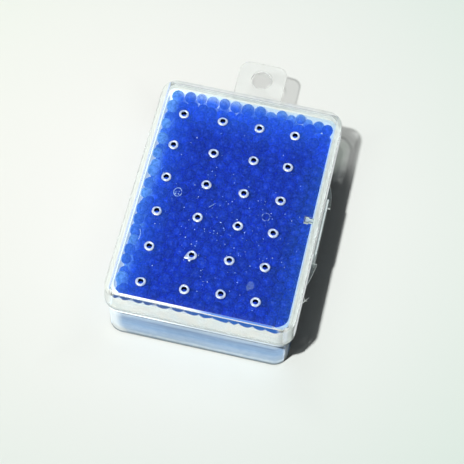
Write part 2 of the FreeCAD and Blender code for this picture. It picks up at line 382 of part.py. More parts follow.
2149,3674,1396,155 145,711,1396,199 -1435,3387,1395,165 -1502,-2222,1394,196
1192,2197,1394,222 1906,-3666,1394,215 2731,2250,1393,196 55,-2028,1393,221
-1471,-1332,1391,189 1159,2630,1391,203 -2453,-3950,1390,167 -1646,1563,1390,207
1049,1782,1389,203 1123,3563,1388,208 -2721,297,1387,205 2242,-3923,1387,194
-548,-3249,1386,212 1496,2891,1386,214 -1089,94,1385,140 543,-2730,1384,199
268,-3014,1383,182 1077,-534,1383,178 2428,2996,1382,196 138,2027,1378,202
1693,-2316,1378,192 42,-2715,1377,176 -299,3580,1376,203 -2649,-2982,1373,223
-1699,326,1372,193 -1689,2330,1372,159 2419,1162,1370,185 -925,1991,1368,210
-1186,-3163,1368,199 1360,1369,1365,210 -2122,1539,1365,211 -203,3169,1364,187
408,3941,1364,177 -493,-2226,1363,208 -434,-848,1363,205 1349,974,1362,169
-622,1693,1362,204 567,-3223,1360,173 2407,-261,1357,197 -400,-2888,1356,171
963,-3668,1355,160 -1556,-3501,1353,218 -2737,1475,1353,189 2749,3657,1353,176
1537,337,1352,192 -1,2865,1351,164 2345,-1420,1351,177 -2749,-506,1350,176
-1155,-2390,1349,184 -1481,-2645,1349,219 -1320,-1800,1348,191 -2378,-2643,1346,193
-837,892,1345,219 -252,-1399,1345,196 -25,3969,1345,148 172,3293,1345,195
1781,1450,1344,208 -1109,-712,1343,166 1627,-3325,1340,209 -646,2288,1338,187
186,-3894,1338,222 -1973,3963,1337,155 831,2424,1336,176 879,3922,1335,196
-3,1684,1334,162 1486,-2620,1334,169 -1730,-1607,1334,184 -1024,1265,1334,184
-2559,-2266,1333,201 1937,-2588,1333,165 -2748,-1518,1332,180 -185,416,1329,184
1728,-899,1328,214 -2713,3700,1326,214 -1696,-158,1325,191 1087,-2362,1324,201
-831,3555,1324,178 836,-2058,1323,185 380,1436,1323,158 1436,-466,1321,182
2015,-610,1320,178 -1936,-2034,1317,184 2218,3336,1314,191 -2346,216,1313,162
1144,394,1312,192 -1077,-2774,1312,199 2036,-3257,1309,198 -2024,2204,1309,195
2269,822,1309,182 -70,1042,1309,193 1575,-3923,1309,193 -798,-1002,1306,179
-2130,-1679,1302,213 857,2891,1301,194 -1842,-3216,1299,182 -1758,-561,1299,185
-2038,2899,1298,153 16,-264,1297,172 644,900,1297,195 1485,-1701,1296,171
2119,-1062,1296,199 -282,1961,1294,222 -2037,964,1294,157 -1364,3918,1293,197
-888,-2088,1290,207 2764,380,1290,162 686,-634,1289,223 -2297,-3642,1288,185
-1332,1785,1288,183 -129,-3170,1285,213 2614,-3908,1285,183 2440,3900,1285,214
2515,584,1285,150 545,360,1284,164 -2022,59,1283,187 2737,-1027,1283,189
-2740,-3777,1282,173 -1174,-1094,1276,181 -2719,2444,1274,206 -1913,1848,1274,164
2135,-1876,1273,190 -11,-910,1273,221 -2367,3022,1269,184 -1704,-3947,1268,169
304,-469,1265,169 2173,1435,1265,181 -2746,1110,1263,179 -2713,3270,1263,211
478,-1099,1262,221 471,-2115,1261,175 858,-3039,1261,173 1321,-3634,1260,184
171,359,1260,171 311,1095,1260,183 1810,-1278,1259,172 -1646,3645,1257,186
-1806,-2859,1256,169 554,3155,1256,203 -1154,-3541,1255,185 1624,1841,1255,210
1147,-1843,1255,186 2414,-3374,1254,184 1130,-1100,1253,168 -2348,581,1252,199
-2139,-499,1251,194 2749,1288,1250,177 1349,-2957,1247,163 -805,507,1247,167
-2725,-1899,1246,199 41,-2413,1244,139 -272,-2550,1243,192 1040,1125,1243,182
694,1284,1241,188 -2464,-629,1236,146 -295,1313,1235,159 2498,-3029,1234,159
-2333,3900,1234,215 -789,-2490,1232,198 2718,-1997,1230,207 -2023,3635,1230,184
-782,145,1230,184 579,-228,1229,188 1755,23,1227,202 2521,1960,1226,188
-1387,142,1224,184 -1124,3360,1224,175 1491,688,1223,171 400,3593,1221,186
1737,-2905,1221,214 -2267,-1318,1221,166 -1101,2369,1220,221 1483,2536,1220,167
702,-2403,1219,188 884,-2706,1218,154 -623,-1327,1217,190 -1467,1144,1217,201
290,-1586,1215,163 -1856,1265,1212,190 -765,-240,1212,192 2716,3292,1210,208
1670,3923,1209,192 1685,1069,1206,192 2093,3000,1205,165 2736,-101,1204,187
2046,3939,1202,176 1100,-1462,1202,184 -1444,2158,1201,174 -627,-1750,1198,221
1843,-1641,1198,184 1823,2332,1196,217 -74,2330,1195,200 -854,2705,1190,181
1262,3910,1187,205 617,-3914,1186,202 -1985,-866,1186,199 1161,-242,1180,180
-2380,-968,1177,196 -67,-3558,1176,181 -1226,2759,1176,176 957,3255,1175,162
-1916,-3651,1175,199 824,567,1172,190 -491,2597,1172,186 2423,-822,1172,185
-417,-3539,1171,159 285,-2584,1170,158 2442,-1165,1170,142 2150,515,1169,161
-962,3901,1169,213 307,2855,1168,178 -1998,-2535,1168,207 -1086,325,1168,163
-573,2986,1167,202 -2399,975,1162,196 921,78,1161,206 -1446,-808,1158,219
-1042,-1523,1155,173 -985,1625,1153,210 784,3578,1152,196 69,1377,1152,191
-2723,2042,1151,200 2448,-1708,1151,173 -2003,418,1151,185 -1147,1004,1150,147
-2172,-2940,1150,210 2368,-2422,1149,173 1443,-1273,1148,197 1819,2762,1148,195
-994,3033,1147,170 621,-1764,1146,206 2701,-519,1144,219 -2758,-3293,1143,166
-548,-533,1142,169 -2735,-1192,1142,187 -2364,-142,1141,221 -1943,-1381,1139,159
-1251,-2103,1139,172 -475,1020,1138,190 1325,96,1135,182 380,-3635,1133,153
-859,-3123,1132,195 2137,2037,1132,199 -1746,816,1131,198 -1624,-1915,1130,189
970,-3382,1129,196 2708,-1408,1125,212 2740,2899,1124,184 2016,-275,1123,198
2080,190,1121,167 -2409,3507,1121,189 280,1701,1120,180 1720,3178,1119,222
2728,1644,1118,196 -1233,-426,1118,207 -1691,2783,1118,181 -2346,1799,1116,204
1008,-3928,1115,186 1496,3562,1113,209 -1391,500,1113,179 2561,928,1112,174
690,1685,1112,221 1279,1848,1110,154 376,83,1109,191 -518,647,1108,174
2300,-499,1108,154 -1504,3138,1108,211 2160,-2905,1106,213 -77,76,1106,220
-2354,-1975,1105,197 -2711,-2593,1104,211 1974,-3942,1103,172 -2422,1384,1103,208
-1670,-1159,1102,186 1937,3570,1101,213 -667,-2816,1100,160 2214,2536,1099,220
-783,-3519,1099,198 1969,-2200,1098,206 2186,1101,1093,168 -881,-562,1092,161
-1001,-3891,1091,221 1294,3122,1090,199 2403,36,1090,182 -2036,2566,1089,218
-66,-1665,1088,204 -40,3523,1088,174 456,2071,1087,221 934,2038,1085,197
-1525,-3126,1084,158 -2474,-1596,1083,190 -232,1614,1081,176 -186,-2196,1079,198
403,645,1078,207 248,-3253,1078,170 1409,-2263,1077,204 -669,1983,1073,173
1653,-1943,1073,186 -277,3891,1071,222 -1268,3639,1068,164 1994,808,1067,171
-751,1323,1067,171 319,2480,1066,199 -1067,680,1062,182 -547,-3890,1061,223
-1082,-43,1060,198 1790,467,1059,198 -1905,3285,1058,209 2749,-2737,1058,175
625,2714,1057,176 2121,-1375,1056,182 -2358,2250,1056,218 1723,-560,1056,204
530,-2985,1056,207 2427,385,1054,157 2730,-3446,1054,189 -2095,-3330,1054,173
1100,1518,1053,215 1345,-3328,1052,176 2429,3532,1051,188 2768,2141,1051,154
1071,2405,1051,185 1055,-765,1049,221 841,-1221,1048,194 -121,-3919,1047,190
608,3919,1046,191 -2729,73,1044,191 1348,1135,1044,176 256,-1904,1044,186
12,3078,1043,192 1722,-2527,1043,192 2696,2507,1042,210 118,-1276,1042,218
1452,2168,1041,206 -316,-1130,1039,207 -1453,2494,1038,186 -2187,-3917,1037,195
1509,-224,1036,186 -372,3322,1036,202 2759,-3083,1035,164 -422,2252,1035,181
1940,1682,1035,197 -1333,-1334,1034,184 2130,-3554,1034,202 -9,607,1034,199
-12,2686,1033,185 1165,773,1033,205 -1727,108,1033,192 -2102,772,1031,167
2454,1342,1031,183 117,-2889,1031,203 1486,2800,1031,144 175,3890,1031,223
2725,-2358,1030,196 1225,-2654,1029,219 -612,3642,1026,190 -2459,2691,1026,218
-2748,450,1026,175 591,-3378,1026,184 -2748,2961,1026,169 869,-387,1023,172
-2730,-318,1023,190 -2723,-786,1023,197 -1950,-231,1021,196 -1643,-2298,1020,199
-2734,821,1019,187 1116,-3054,1017,164 -1063,-854,1017,179 -1624,1854,1017,206
-1437,-3779,1016,223 -2336,-2367,1015,189 -275,-733,1014,180 -923,-1202,1014,186
-232,-341,1012,202 1048,-2118,1011,183 1885,-1051,1009,160 -387,-1494,1009,155
75,-592,1006,187 710,2373,1005,169 -1296,-2495,1004,192 -1149,1994,1003,206
-2537,-3547,1003,190 2718,3783,1002,187 -1585,1458,1002,184 -2571,-3924,1002,178
2728,606,1001,193 -2721,1662,1001,200 -1289,-2881,1000,183 -1767,2253,1000,196
1686,-3651,999,221 1907,1297,995,178 1356,-535,994,152 -2099,1110,993,164
2343,-3907,993,204 -1441,-127,992,168 2093,-768,991,182 -2007,3926,990,184
-1073,1261,989,156 1534,1482,988,212 -499,-12,988,208 -1392,845,986,176
431,1397,985,176 2390,3129,983,211 -583,1626,982,176 170,925,982,160
-2416,-3195,980,172 -2037,1983,979,172 502,-1418,978,188 -1921,-1767,978,166
1468,-890,977,209 1369,-3923,977,188 -1963,1603,976,205 1114,2781,976,192
-1658,-1517,975,185 315,3313,975,183 -1689,-3411,975,177 2369,-2060,973,220
-771,3286,973,195 2466,2775,973,139 1401,429,972,189 -1205,-3266,971,201
1811,-3240,971,198 2728,206,970,191 -686,386,969,146 -301,-2871,969,211
35,1992,969,213 -285,2891,969,152 181,-220,968,188 -630,-2160,968,201
-1310,1664,967,149 943,3968,967,145 -2138,2963,967,189 266,-907,966,174
-1647,-2696,965,192 -995,-2277,963,170 -2760,1292,961,162 1799,2021,961,165
-502,-3242,960,203 286,-2286,960,197 2344,1719,952,208 -524,-2529,951,175
-2725,-2978,950,195 2718,-3807,949,174 2090,-2547,949,177 -1849,-3073,949,184
2443,2208,948,183 830,3026,948,175 -925,-1889,945,182 -662,-870,945,221
799,861,944,171 494,1044,944,176 547,-2602,943,176 -143,1138,942,184
-1548,3486,942,168 661,297,941,191 -770,2406,940,203 -2458,3143,939,169
-2012,-2137,939,204 -441,1318,939,155 -1821,-3938,938,173 1160,-3631,937,162
1122,3610,936,197 812,-3668,935,176 -2706,-2189,934,216 2427,-2686,933,164
-1844,3628,933,152 227,356,932,152 2763,1133,927,158 -2401,-497,927,186
-689,3965,926,147 647,-875,924,200 -2637,3849,923,212 878,1208,923,177
1660,811,922,185 -1621,-467,922,212 657,-2121,921,203 959,-1750,921,191
-1306,-1735,919,221 1365,-1629,919,221 1031,383,919,176 -347,-1876,915,180
-950,-2638,913,181 2718,-879,912,200 -1562,3888,912,223 -1274,249,911,155
-2439,-1247,911,184 901,-2441,908,171 501,-483,908,211 -2754,-1747,904,164
-2053,-1136,903,187 2461,-3226,899,178 -289,813,899,166 2729,-1759,899,191
-2412,697,899,165 -814,966,899,218 -328,368,898,208 -36,-2528,896,199
2466,-278,896,183 2330,704,892,205 2080,-1741,891,207 -1714,485,891,201
-2115,131,891,208 -963,3609,889,180 -2436,350,888,170 327,-3905,887,204
-795,-1536,887,182 -360,1906,884,186 1377,2527,884,176 -821,127,883,148
-1727,1119,881,183 -2730,2337,880,188 -2157,-1508,878,189 866,3359,878,157
163,-3546,875,183 680,-94,874,195 866,-2816,874,196 475,2994,870,178
1471,-2990,870,217 -679,-358,869,172 1750,-1396,869,221 -1748,-857,868,184
2032,3262,865,178 2086,2863,865,192 2760,3141,864,161 -2712,3423,861,208
-2427,-2684,859,167 -88,-3223,858,207 -1048,2813,857,185 1898,3917,856,192
-1423,2828,854,183 2319,3887,853,221 -1168,3226,851,208 1837,137,850,184
-1367,1175,850,171 1495,3912,849,197 -308,2551,848,181 1125,59,844,159
1862,-2822,836,186 2775,-150,836,146 2406,-687,830,166 1752,2532,828,190
2422,-1500,824,203 2344,-1077,824,214 2161,-69,822,185 -220,-3616,820,193
-1159,3924,815,184 -651,2786,810,207 2444,1061,810,166 -1894,-2473,802,166
186,1214,802,169 -252,3597,799,171 2056,2267,795,202 -2465,22,795,160
69,1587,793,214 1438,3324,793,180 -1075,1523,792,160 1697,-2213,790,192
-2197,-3593,784,204 1123,1848,782,199 -849,1815,780,198 2184,330,779,203
1958,616,778,151 -1765,3008,777,200 -2168,3503,777,221 2702,1892,774,214
-2342,-874,769,213 1707,3587,767,185 2188,1384,766,185 -1307,-699,763,197
1802,-260,762,209 -2207,1365,760,188 -2075,-2807,758,203 -2022,-561,756,218
-1926,860,755,159 2729,2799,752,190 -1022,-3597,751,220 -1333,-2155,751,220
-1691,-1934,748,189 -625,2115,748,166 712,1933,747,210 2708,1458,746,208
-2362,-2111,743,174 -1359,-1089,743,189 1386,2952,741,190 -995,-238,741,174
1217,-2390,741,155 683,-3937,740,171 2071,1001,740,207 -986,441,740,219
-324,1563,739,173 129,3569,739,202 2723,-1245,738,193 1184,-308,737,207
814,2718,735,186 -924,-608,734,188 1650,1163,734,203 -1450,2145,734,213
560,3554,732,221 2122,-3115,731,206 1063,-3917,731,191 -1108,-1380,731,185
-2106,524,729,209 1325,-2031,728,212 -601,-3571,727,194 -2749,-2683,727,167
2022,-3905,726,202 -583,651,726,194 1878,-668,724,167 285,-1144,723,153
59,2410,723,222 974,-1410,722,192 -2391,1708,722,194 -660,-2840,720,209
2711,3493,719,209 2168,-439,718,188 1480,19,715,206 1546,1830,715,221
1166,-3337,713,199 866,1557,713,183 2420,2533,712,209 -612,-1234,709,204
1358,-1227,708,223 -2221,-208,708,176 -2154,-3200,708,191 2737,2289,707,180
-1511,92,707,185 -2729,2678,706,187 -2709,1968,706,209 -2281,3909,706,198
-2721,-1036,706,196 1375,699,706,178 -1642,2551,705,188 357,-2006,705,175
23,-935,704,171 2342,-3524,703,181 2750,-3161,703,167 -1442,-3080,703,194
-1291,3581,703,187 -2440,-1728,703,201 -2722,-1438,702,194 424,2642,702,199
2321,-2377,701,192 -2718,-546,700,197 -1245,2513,700,199 -295,2216,700,172
2064,3617,699,171 1558,-3388,699,187 -769,-3920,698,185 81,2870,697,200
446,2246,696,189 -2737,213,695,177 -2003,2387,695,199 539,-2853,694,162
1169,1045,694,217 1750,2882,693,174 -1773,1428,693,166 758,-3192,693,219
601,625,693,215 -2273,971,693,197 -138,-1285,692,204 -1261,1817,692,157
-2252,2076,692,189 1832,1518,691,190 -134,3233,691,211 -811,-3233,690,190
-1804,-3656,689,186 -18,-1885,689,208 746,3924,688,183 -1731,-1197,687,192
315,-3176,687,216 -1900,-99,685,155 -2741,3066,685,175 862,-592,684,211
-2710,1040,684,206 -1382,-2693,684,184 288,-2599,684,181 -2716,-3705,684,197
-342,-943,684,183 -1444,-3495,683,200 879,2309,683,192 -56,-156,682,181
-391,-3929,682,178 -1839,2034,681,181 1136,3915,680,192 1705,-1802,680,220
2717,-492,680,201 2701,-2122,678,217 228,-1520,678,220 -2405,2445,677,198
1213,-774,677,171 936,-2023,677,165 1729,-1011,676,195 937,-1022,676,192
607,1282,676,188 -1579,786,676,176 -1067,-2930,676,197 180,621,676,196
-308,-2209,676,215 457,1630,676,182 -2394,-3921,674,183 1523,-556,674,198
-650,-1871,674,190 -2737,-159,674,180 1,241,673,200 -1169,825,672,198
1616,-3911,671,195 2728,-3523,671,187 -14,-3919,671,187 2656,796,671,187
515,-3581,671,217 -409,-1573,671,183 -1342,-236,670,172 2474,-2929,669,187
-399,-281,669,172 2051,-2088,668,193 -2705,611,668,210 -153,-589,667,207
-433,3904,665,202 1541,-2590,665,223 1948,-3497,665,206 2694,-2572,664,221
-721,1413,664,223 -2416,2881,664,178 -1204,-3940,664,167 -993,2186,662,207
1114,3362,661,162 -1555,-3932,660,174 -2035,-3942,659,166 -967,-1004,658,209
-1649,1739,657,160 1968,1889,657,195 283,-78,657,156 -552,3160,656,200
262,1930,656,166 -572,3546,655,174 -739,-2439,655,191 -2508,-3366,654,191
635,-1716,654,222 2393,2921,653,171 354,3919,653,188 -687,-73,653,172
1254,1471,652,206 2665,3873,651,170 78,-2262,651,166 -439,1069,650,213
494,-2316,650,160 -2475,-2979,649,188 -1070,1198,649,177 2329,3360,649,192
-1394,1498,648,181 -1144,75,647,175 -942,-2114,646,178 1286,2217,645,215
692,3177,645,174 -2233,-2446,645,191 -1674,3624,644,160 -1393,453,644,189
1930,-2455,643,167 -345,72,642,170 -2058,2777,642,186 -2087,-1884,642,175
-1501,3272,642,178 287,3187,642,167 -1109,-2464,641,166 -1841,226,641,167
401,258,640,190 1136,-2957,639,176 1634,404,638,205 2515,42,638,221
1698,2207,638,182 1011,636,638,190 -325,-2620,635,189 -1773,-3279,635,185
1025,3019,635,184 724,-2566,635,168 1326,-3671,635,170 2164,-2723,634,179
-552,-612,634,184 -1851,-1585,634,198 -1869,3921,634,185 0,-2863,633,203
926,3630,632,156 2722,416,632,192 -1844,3340,631,161 -2718,1494,630,197
204,-415,629,181 -20,956,629,188 -832,3854,628,191 -1608,-2417,628,166
1377,3637,627,166 -304,2852,624,182 -900,2587,623,152 -129,1302,622,164
1129,2582,621,168 -1716,-2832,620,172 592,-1291,620,193 -1459,-1481,619,189
2340,2027,618,194 -886,3015,616,158 844,305,615,169 -886,3365,612,179
-34,3915,611,191 -2394,3228,610,164 1215,307,610,183 787,966,609,169
-2594,-2403,607,164 -206,621,606,186 945,-2338,606,142 -2082,3123,605,152
2762,1122,605,152 2527,-3881,601,221 -1662,-283,600,148 385,-791,598,218
2602,3158,598,140 -2541,3653,598,172 -631,282,595,179 -1984,-937,595,175
-345,-3058,594,185 2372,-1847,591,205 1053,-2628,591,158 2260,1677,591,155
-571,2447,585,197 -1191,-1856,583,141 2107,3087,582,155 -1959,1155,582,172
-113,1904,581,195 377,967,580,201 -933,-1661,577,168 912,-3603,576,182
925,-46,575,184 1107,-1735,568,179 -2013,1695,568,206 2083,-1400,565,221
2037,2601,558,200 -1898,-2205,556,190 1732,-3049,553,182 -1157,-3267,552,165
2081,-992,548,169 1747,3249,544,212 2707,-1593,529,205 -1658,-652,528,213
-2340,-1352,527,218 1757,805,520,214 1505,2628,519,208 -2692,-2033,514,222
-1257,2975,513,214 575,-286,512,219 2567,-857,502,223 -524,1822,500,222
-1565,1147,497,218 -2399,306,490,213 -1381,3903,487,200 26,-3550,485,219
2365,576,481,214 2129,3912,480,191 1707,3881,475,217 1996,7,462,207
-2441,1257,459,197 -797,893,458,218 -1174,-491,430,207 -1956,-3020,429,173
-1028,1648,429,218 2374,1014,427,215 938,1834,417,193 -1559,-2142,416,171
1558,-2232,402,209 715,-2159,401,193 -369,1451,399,179 1321,3170,385,218
675,2140,380,197 -1259,2017,376,199 793,-2867,374,223 -2271,-2093,373,191
1456,-893,373,217 -1849,831,371,217 1419,-1850,371,186 -926,-2676,370,208
-1592,-1765,366,199 691,2870,360,217 2689,2514,360,220 -2262,-2768,360,219
1969,1200,360,223 1386,-3218,360,221 -2421,741,360,221 -2689,3304,360,221
2689,2060,360,222 1568,1555,360,221 -886,-1323,360,222 -807,-3509,360,220
-2691,2425,359,222 341,-2869,359,219 298,3608,358,204 -2692,-793,358,217
46,-2527,358,219 -1945,-316,356,217 -584,-990,355,217 -2000,-3514,355,211
-1800,-3895,354,206 1139,-2147,353,213 622,-3880,353,214 -2698,-3154,351,214
1278,-85,351,211 382,1397,351,212 1673,-253,350,210 -1313,-1203,350,210
310,-2174,350,208 1952,419,350,213 -1833,2614,349,208 -155,-1045,349,201
314,-1146,348,210 2290,-3191,348,206 2291,2335,348,208 1672,-3541,348,200
2702,1621,348,207 -241,-1752,348,207 -2294,-956,347,206 1858,-745,347,204
-2702,2864,347,209 2702,-233,347,208 -1687,415,346,206 -2704,-2721,345,209
1117,-1172,344,204 2706,-2869,344,206 833,-1474,344,203 633,109,344,205
-1089,587,344,202 -1645,0,343,203 -148,2232,343,204 -532,-2063,343,203
2706,-3289,343,206 264,2163,343,205 -1001,-3897,343,202 1337,1921,343,198
-929,194,343,206 -2046,106,342,201 -2707,-1635,342,204 -583,-3897,342,204
2183,-3897,342,201 -2355,-173,342,203 1141,3553,341,199 -1417,2621,341,200
-869,-220,341,200 1995,1635,341,200 961,-367,341,201 2163,-2456,340,201
-2323,2678,340,203 -2709,44,340,203 -2709,-1220,340,201 -112,29,339,202
921,3902,338,197 1541,1126,338,197 2338,1422,337,196 723,-1040,337,199
-355,363,337,196 2068,-386,337,197 2712,-1227,337,198 1749,-1545,336,198
168,1761,336,196 2386,3132,336,187 -1215,-1609,335,197 205,-3904,335,196
-1734,1893,335,196 37,465,335,192 275,2903,335,193 87,3262,335,194
-2714,-365,335,196 836,1462,335,193 1046,-761,334,193 -2439,3905,334,192
-1228,-3565,334,193 -913,-3094,334,195 171,-1779,333,195 903,3232,333,191
1730,1948,333,188 -2209,-3899,333,195 -797,-626,333,195 491,3241,332,193
2,-1418,332,194 -650,-1673,332,191 1391,760,332,190 -2611,-3874,332,193
864,2487,331,190 -2283,-3188,331,192 -1249,-105,331,189 -396,-1363,331,191
1409,-3875,331,192 2719,2933,330,191 2415,-3573,330,188 -1951,2226,330,190
-1753,1494,330,188 2342,2745,330,190 1286,-2535,330,192 -1494,-2598,329,189
1323,3910,329,187 2353,3583,328,191 -1227,-2320,328,188 82,2560,328,189
568,1765,328,186 964,-3253,328,192 -312,2605,328,191 2721,3325,328,189
-1679,-1017,327,189 -1209,3581,327,187 1110,2809,327,190 -423,775,327,186
-2219,1948,327,188 -1260,-2905,327,188 1340,-491,327,188 706,3573,327,188
-117,-371,327,187 469,2511,327,190 2721,3710,327,187 2325,-1154,326,188
1965,3594,326,186 540,-2502,326,185 1891,2308,326,186 1834,-1157,326,189
2418,-2146,326,188 1011,870,326,189 -829,3608,326,186 679,-648,325,183
-855,2013,325,187 -498,-370,325,186 -2312,-1709,325,185 -1995,-1232,324,185
-554,-2522,324,185 -186,-3915,324,186 -1398,-3915,324,186 -2087,495,324,179
-1449,743,324,183 -537,16,324,186 633,802,324,180 1783,-2561,324,185
418,481,324,180 2092,-1742,323,186 1791,-3916,323,183 -937,-1925,323,183
1156,1227,323,185 1541,3527,323,187 -298,3282,323,183 1027,-3916,323,184
218,-198,322,179 -2595,2023,322,185 -913,1271,322,180 -2398,-3555,322,183
567,-3216,322,186 -2339,3529,322,183 -356,-3570,321,185 538,3919,320,179
-2394,1615,320,180 -1862,-2692,320,177 2729,-1929,320,181 -1026,2696,320,183
-1321,272,319,180 1529,-2834,319,179 -1176,996,319,180 -89,3603,318,177
-1424,1669,318,176 2731,191,318,181 -851,-2291,318,179 -115,2929,318,178
1176,-3571,317,181 -701,521,317,176 -2351,-565,317,179 -1568,2257,317,181
1520,2265,316,178 -2062,3923,316,176 -459,3614,316,176 -1621,2952,316,179
2429,-519,316,178 44,-713,315,175 -226,1126,315,176 -15,1426,315,177
-479,2963,315,175 1966,-2888,315,176 1660,146,315,178 -517,-3234,315,175
-1033,3924,314,179 2320,-2805,314,173 -1609,-3552,314,175 1645,2938,314,175
-267,3925,314,177 2002,2905,314,175 2735,883,314,175 -637,3925,313,174
-1422,-3238,313,174 -1264,1348,313,171 -1359,-816,313,173 252,165,313,169
-318,-690,313,174 2333,-119,312,172 -1578,3606,312,174 913,-2481,312,176
135,1095,312,172 -1936,3587,312,173 445,-1518,312,175 -1938,-1921,312,175
-1662,-1390,312,175 -1990,-710,312,174 2390,-1521,311,175 -599,-2884,311,172
200,-3237,310,170 -2168,1049,310,166 -527,2178,310,171 1250,-1528,309,169
-2739,3696,309,167 1009,195,309,169 -1742,3290,309,171 -1046,3246,309,173
2295,230,309,170 2373,1815,309,168 -665,3280,309,171 786,464,309,167
-2083,-2406,308,170 -267,-2772,308,169 -2111,1396,308,169 -2368,3059,308,171
-813,2376,308,167 1905,-3241,308,166 1774,-1922,307,167 -1516,-360,307,169
-2090,3271,307,168 -2741,1690,307,167 -2314,2300,306,168 2679,1234,306,168
-1709,3933,306,167 -2430,-2413,306,165 1226,2461,306,166 -2042,2932,306,166
-2743,977,306,169 1119,519,305,163 337,-526,305,162 2080,784,305,167
382,-3539,305,167 -1152,2362,304,161 2530,-2530,304,164 2741,-3729,304,164
1490,-1281,304,165 -169,-3262,303,164 2048,3248,303,163 -1397,3271,303,165
2096,2009,303,162 2049,-3551,303,163 2444,3936,302,163 1046,2174,302,164
894,-1846,302,165 2061,-2097,301,161 -64,816,301,162 -2748,459,301,165
2233,-807,300,162 2749,-2278,300,161 -1291,-1967,300,161 -567,1176,300,161
1179,-2885,300,163 532,-1856,299,162 -2749,-3534,299,161 -59,-2074,299,158
1181,1578,298,160 -674,2681,298,159 664,1143,298,155 -1620,-2949,297,161
-2753,-2350,296,156 -1028,-908,296,160 2752,539,296,158 -826,2981,296,158
139,3943,296,160 -2753,1351,296,158 -687,1535,295,157 -1983,-1583,295,155
-269,-2321,294,155 1792,2638,292,151 1348,282,291,154 733,-3522,291,155
2759,-599,290,153 -1752,-3248,288,149 258,786,288,151 -12,-2981,288,149
-187,1716,287,151 -1756,-2368,285,148 1592,476,283,148 -1877,1180,275,135
"""


def rounded_rectangle(outline, z):
    """A closed wire round an outline, anticlockwise from the +X side."""
    half_x, half_y, radius = outline
    core_x, core_y = half_x - radius, half_y - radius
    reach = radius * math.sqrt(0.5)
    # start and end of a side, then the signs of the corner after it
    sides = [
        (half_x, -core_y, half_x, core_y, 1, 1),
        (core_x, half_y, -core_x, half_y, -1, 1),
        (-half_x, core_y, -half_x, -core_y, -1, -1),
        (-core_x, -half_y, core_x, -half_y, 1, -1),
    ]
    edges = []
    for i, (x0, y0, x1, y1, sign_x, sign_y) in enumerate(sides):
        end = Vector(x1, y1, z)
        middle = Vector(sign_x * (core_x + reach), sign_y * (core_y + reach), z)
        following = sides[(i + 1) % 4]
        edges.append(Part.makeLine(Vector(x0, y0, z), end))
        edges.append(Part.Arc(end, middle, Vector(following[0], following[1], z)).toShape())
    return Part.Wire(edges)


def drafted(base, z0, top, z1):
    wires = [rounded_rectangle(base, z0), rounded_rectangle(top, z1)]
    return Part.makeLoft(wires, True, True)


def edges_at(shape, z):
    """Edges that lie wholly at one height."""
    boxes = [(e, e.BoundBox) for e in shape.Edges]
    return [e for e, b in boxes if abs(b.ZMin - z) < 0.02 and abs(b.ZMax - z) < 0.02]


def box(x0, x1, y0, y1, z0, z1):
    return Part.makeBox(x1 - x0, y1 - y0, z1 - z0, Vector(x0, y0, z0))


def guard_box(x0, y0, y1):
    return box(x0, GUARD_X1, y0, y1, GUARD_Z0 - CLEAR, GUARD_Z1 + CLEAR)


def guard_arc(radius, x, y, y0, y1):
    disc = Part.makeCylinder(radius, GUARD_Z1 - GUARD_Z0, Vector(x, y, GUARD_Z0))
    return disc.common(guard_box(GUARD_X0, y0, y1))


def make_guard():
    guard = guard_arc(LOWER_R, LOWER_X, LOWER_Y, GUARD_Y0, GUARD_SPLIT_Y)
    guard = guard.fuse(guard_arc(UPPER_R, UPPER_X, UPPER_Y, GUARD_SPLIT_Y, GUARD_Y1))
    return guard.cut(guard_box(FLANGE[0], -GUARD_GAP, GUARD_GAP))


def make_tab():
    tab = box(-TAB_W / 2, TAB_W / 2, HALF_L - TAB_ROOT, TAB_END_Y, TAB_Z0, TAB_Z1)
    corners = [
        e for e in tab.Edges
        if e.BoundBox.ZLength > 0.5 * (TAB_Z1 - TAB_Z0)
        and abs(e.BoundBox.YMin - TAB_END_Y) < 1e-6
    ]
    tab = tab.makeFillet(TAB_CORNER_R, corners)
    flat_edges = edges_at(tab, TAB_Z1) + edges_at(tab, TAB_Z0)
    tab = tab.makeFillet(TAB_EDGE_R, [e for e in flat_edges if e.BoundBox.YMax > HALF_L])
    return tab.cut(Part.makeCylinder(HANG_R, DRILL_H, Vector(0, HANG_Y, TAB_Z0 - 2 * CLEAR)))


def make_tray():
    tub = drafted(TRAY_BASE, 0, TRAY_TOP, FLANGE_Z0 + MERGE)
    tub = tub.makeFillet(TRAY_FOOT_R, edges_at(tub, 0))
    flange = drafted(FLANGE, FLANGE_Z0, FLANGE, FLANGE_Z1)
    leaf = box(LEAF_X0, TRAY_LEAF_DEPTH - HALF_W, -HINGE_HALF, HINGE_HALF,
               PARTING_Z - LEAF_H, FLANGE_Z1 - LEAF_SETBACK)
    rim = drafted(RIM_BASE, FLANGE_Z1 - MERGE, RIM_TOP, RIM_TOP_Z)
    rim = rim.makeFillet(RIM_EDGE_R, edges_at(rim, RIM_TOP_Z))
    body = tub.fuse([flange, make_guard(), make_tab(), leaf, rim])
    cavity = drafted(CAVITY_BASE, TRAY_FLOOR, CAVITY_TOP, RIM_TOP_Z + CLEAR)
    cavity = cavity.makeFillet(CAVITY_FOOT_R, edges_at(cavity, TRAY_FLOOR))
    return body.cut(cavity).removeSplitter()


def make_rib():
    """A rib under the lid beside the latch, with a wider foot at its free end."""
    top = LID_CEILING_Z + RIB_SINK
    rib = box(RIB_X0, HALF_W - LID_WALL + RIB_SINK, RIB_Y0, RIB_Y1, RIB_Z0, top)
    return rib.fuse(box(RIB_X0, RIB_FOOT_X1, RIB_FOOT_Y0, RIB_FOOT_Y1, RIB_Z0, top))


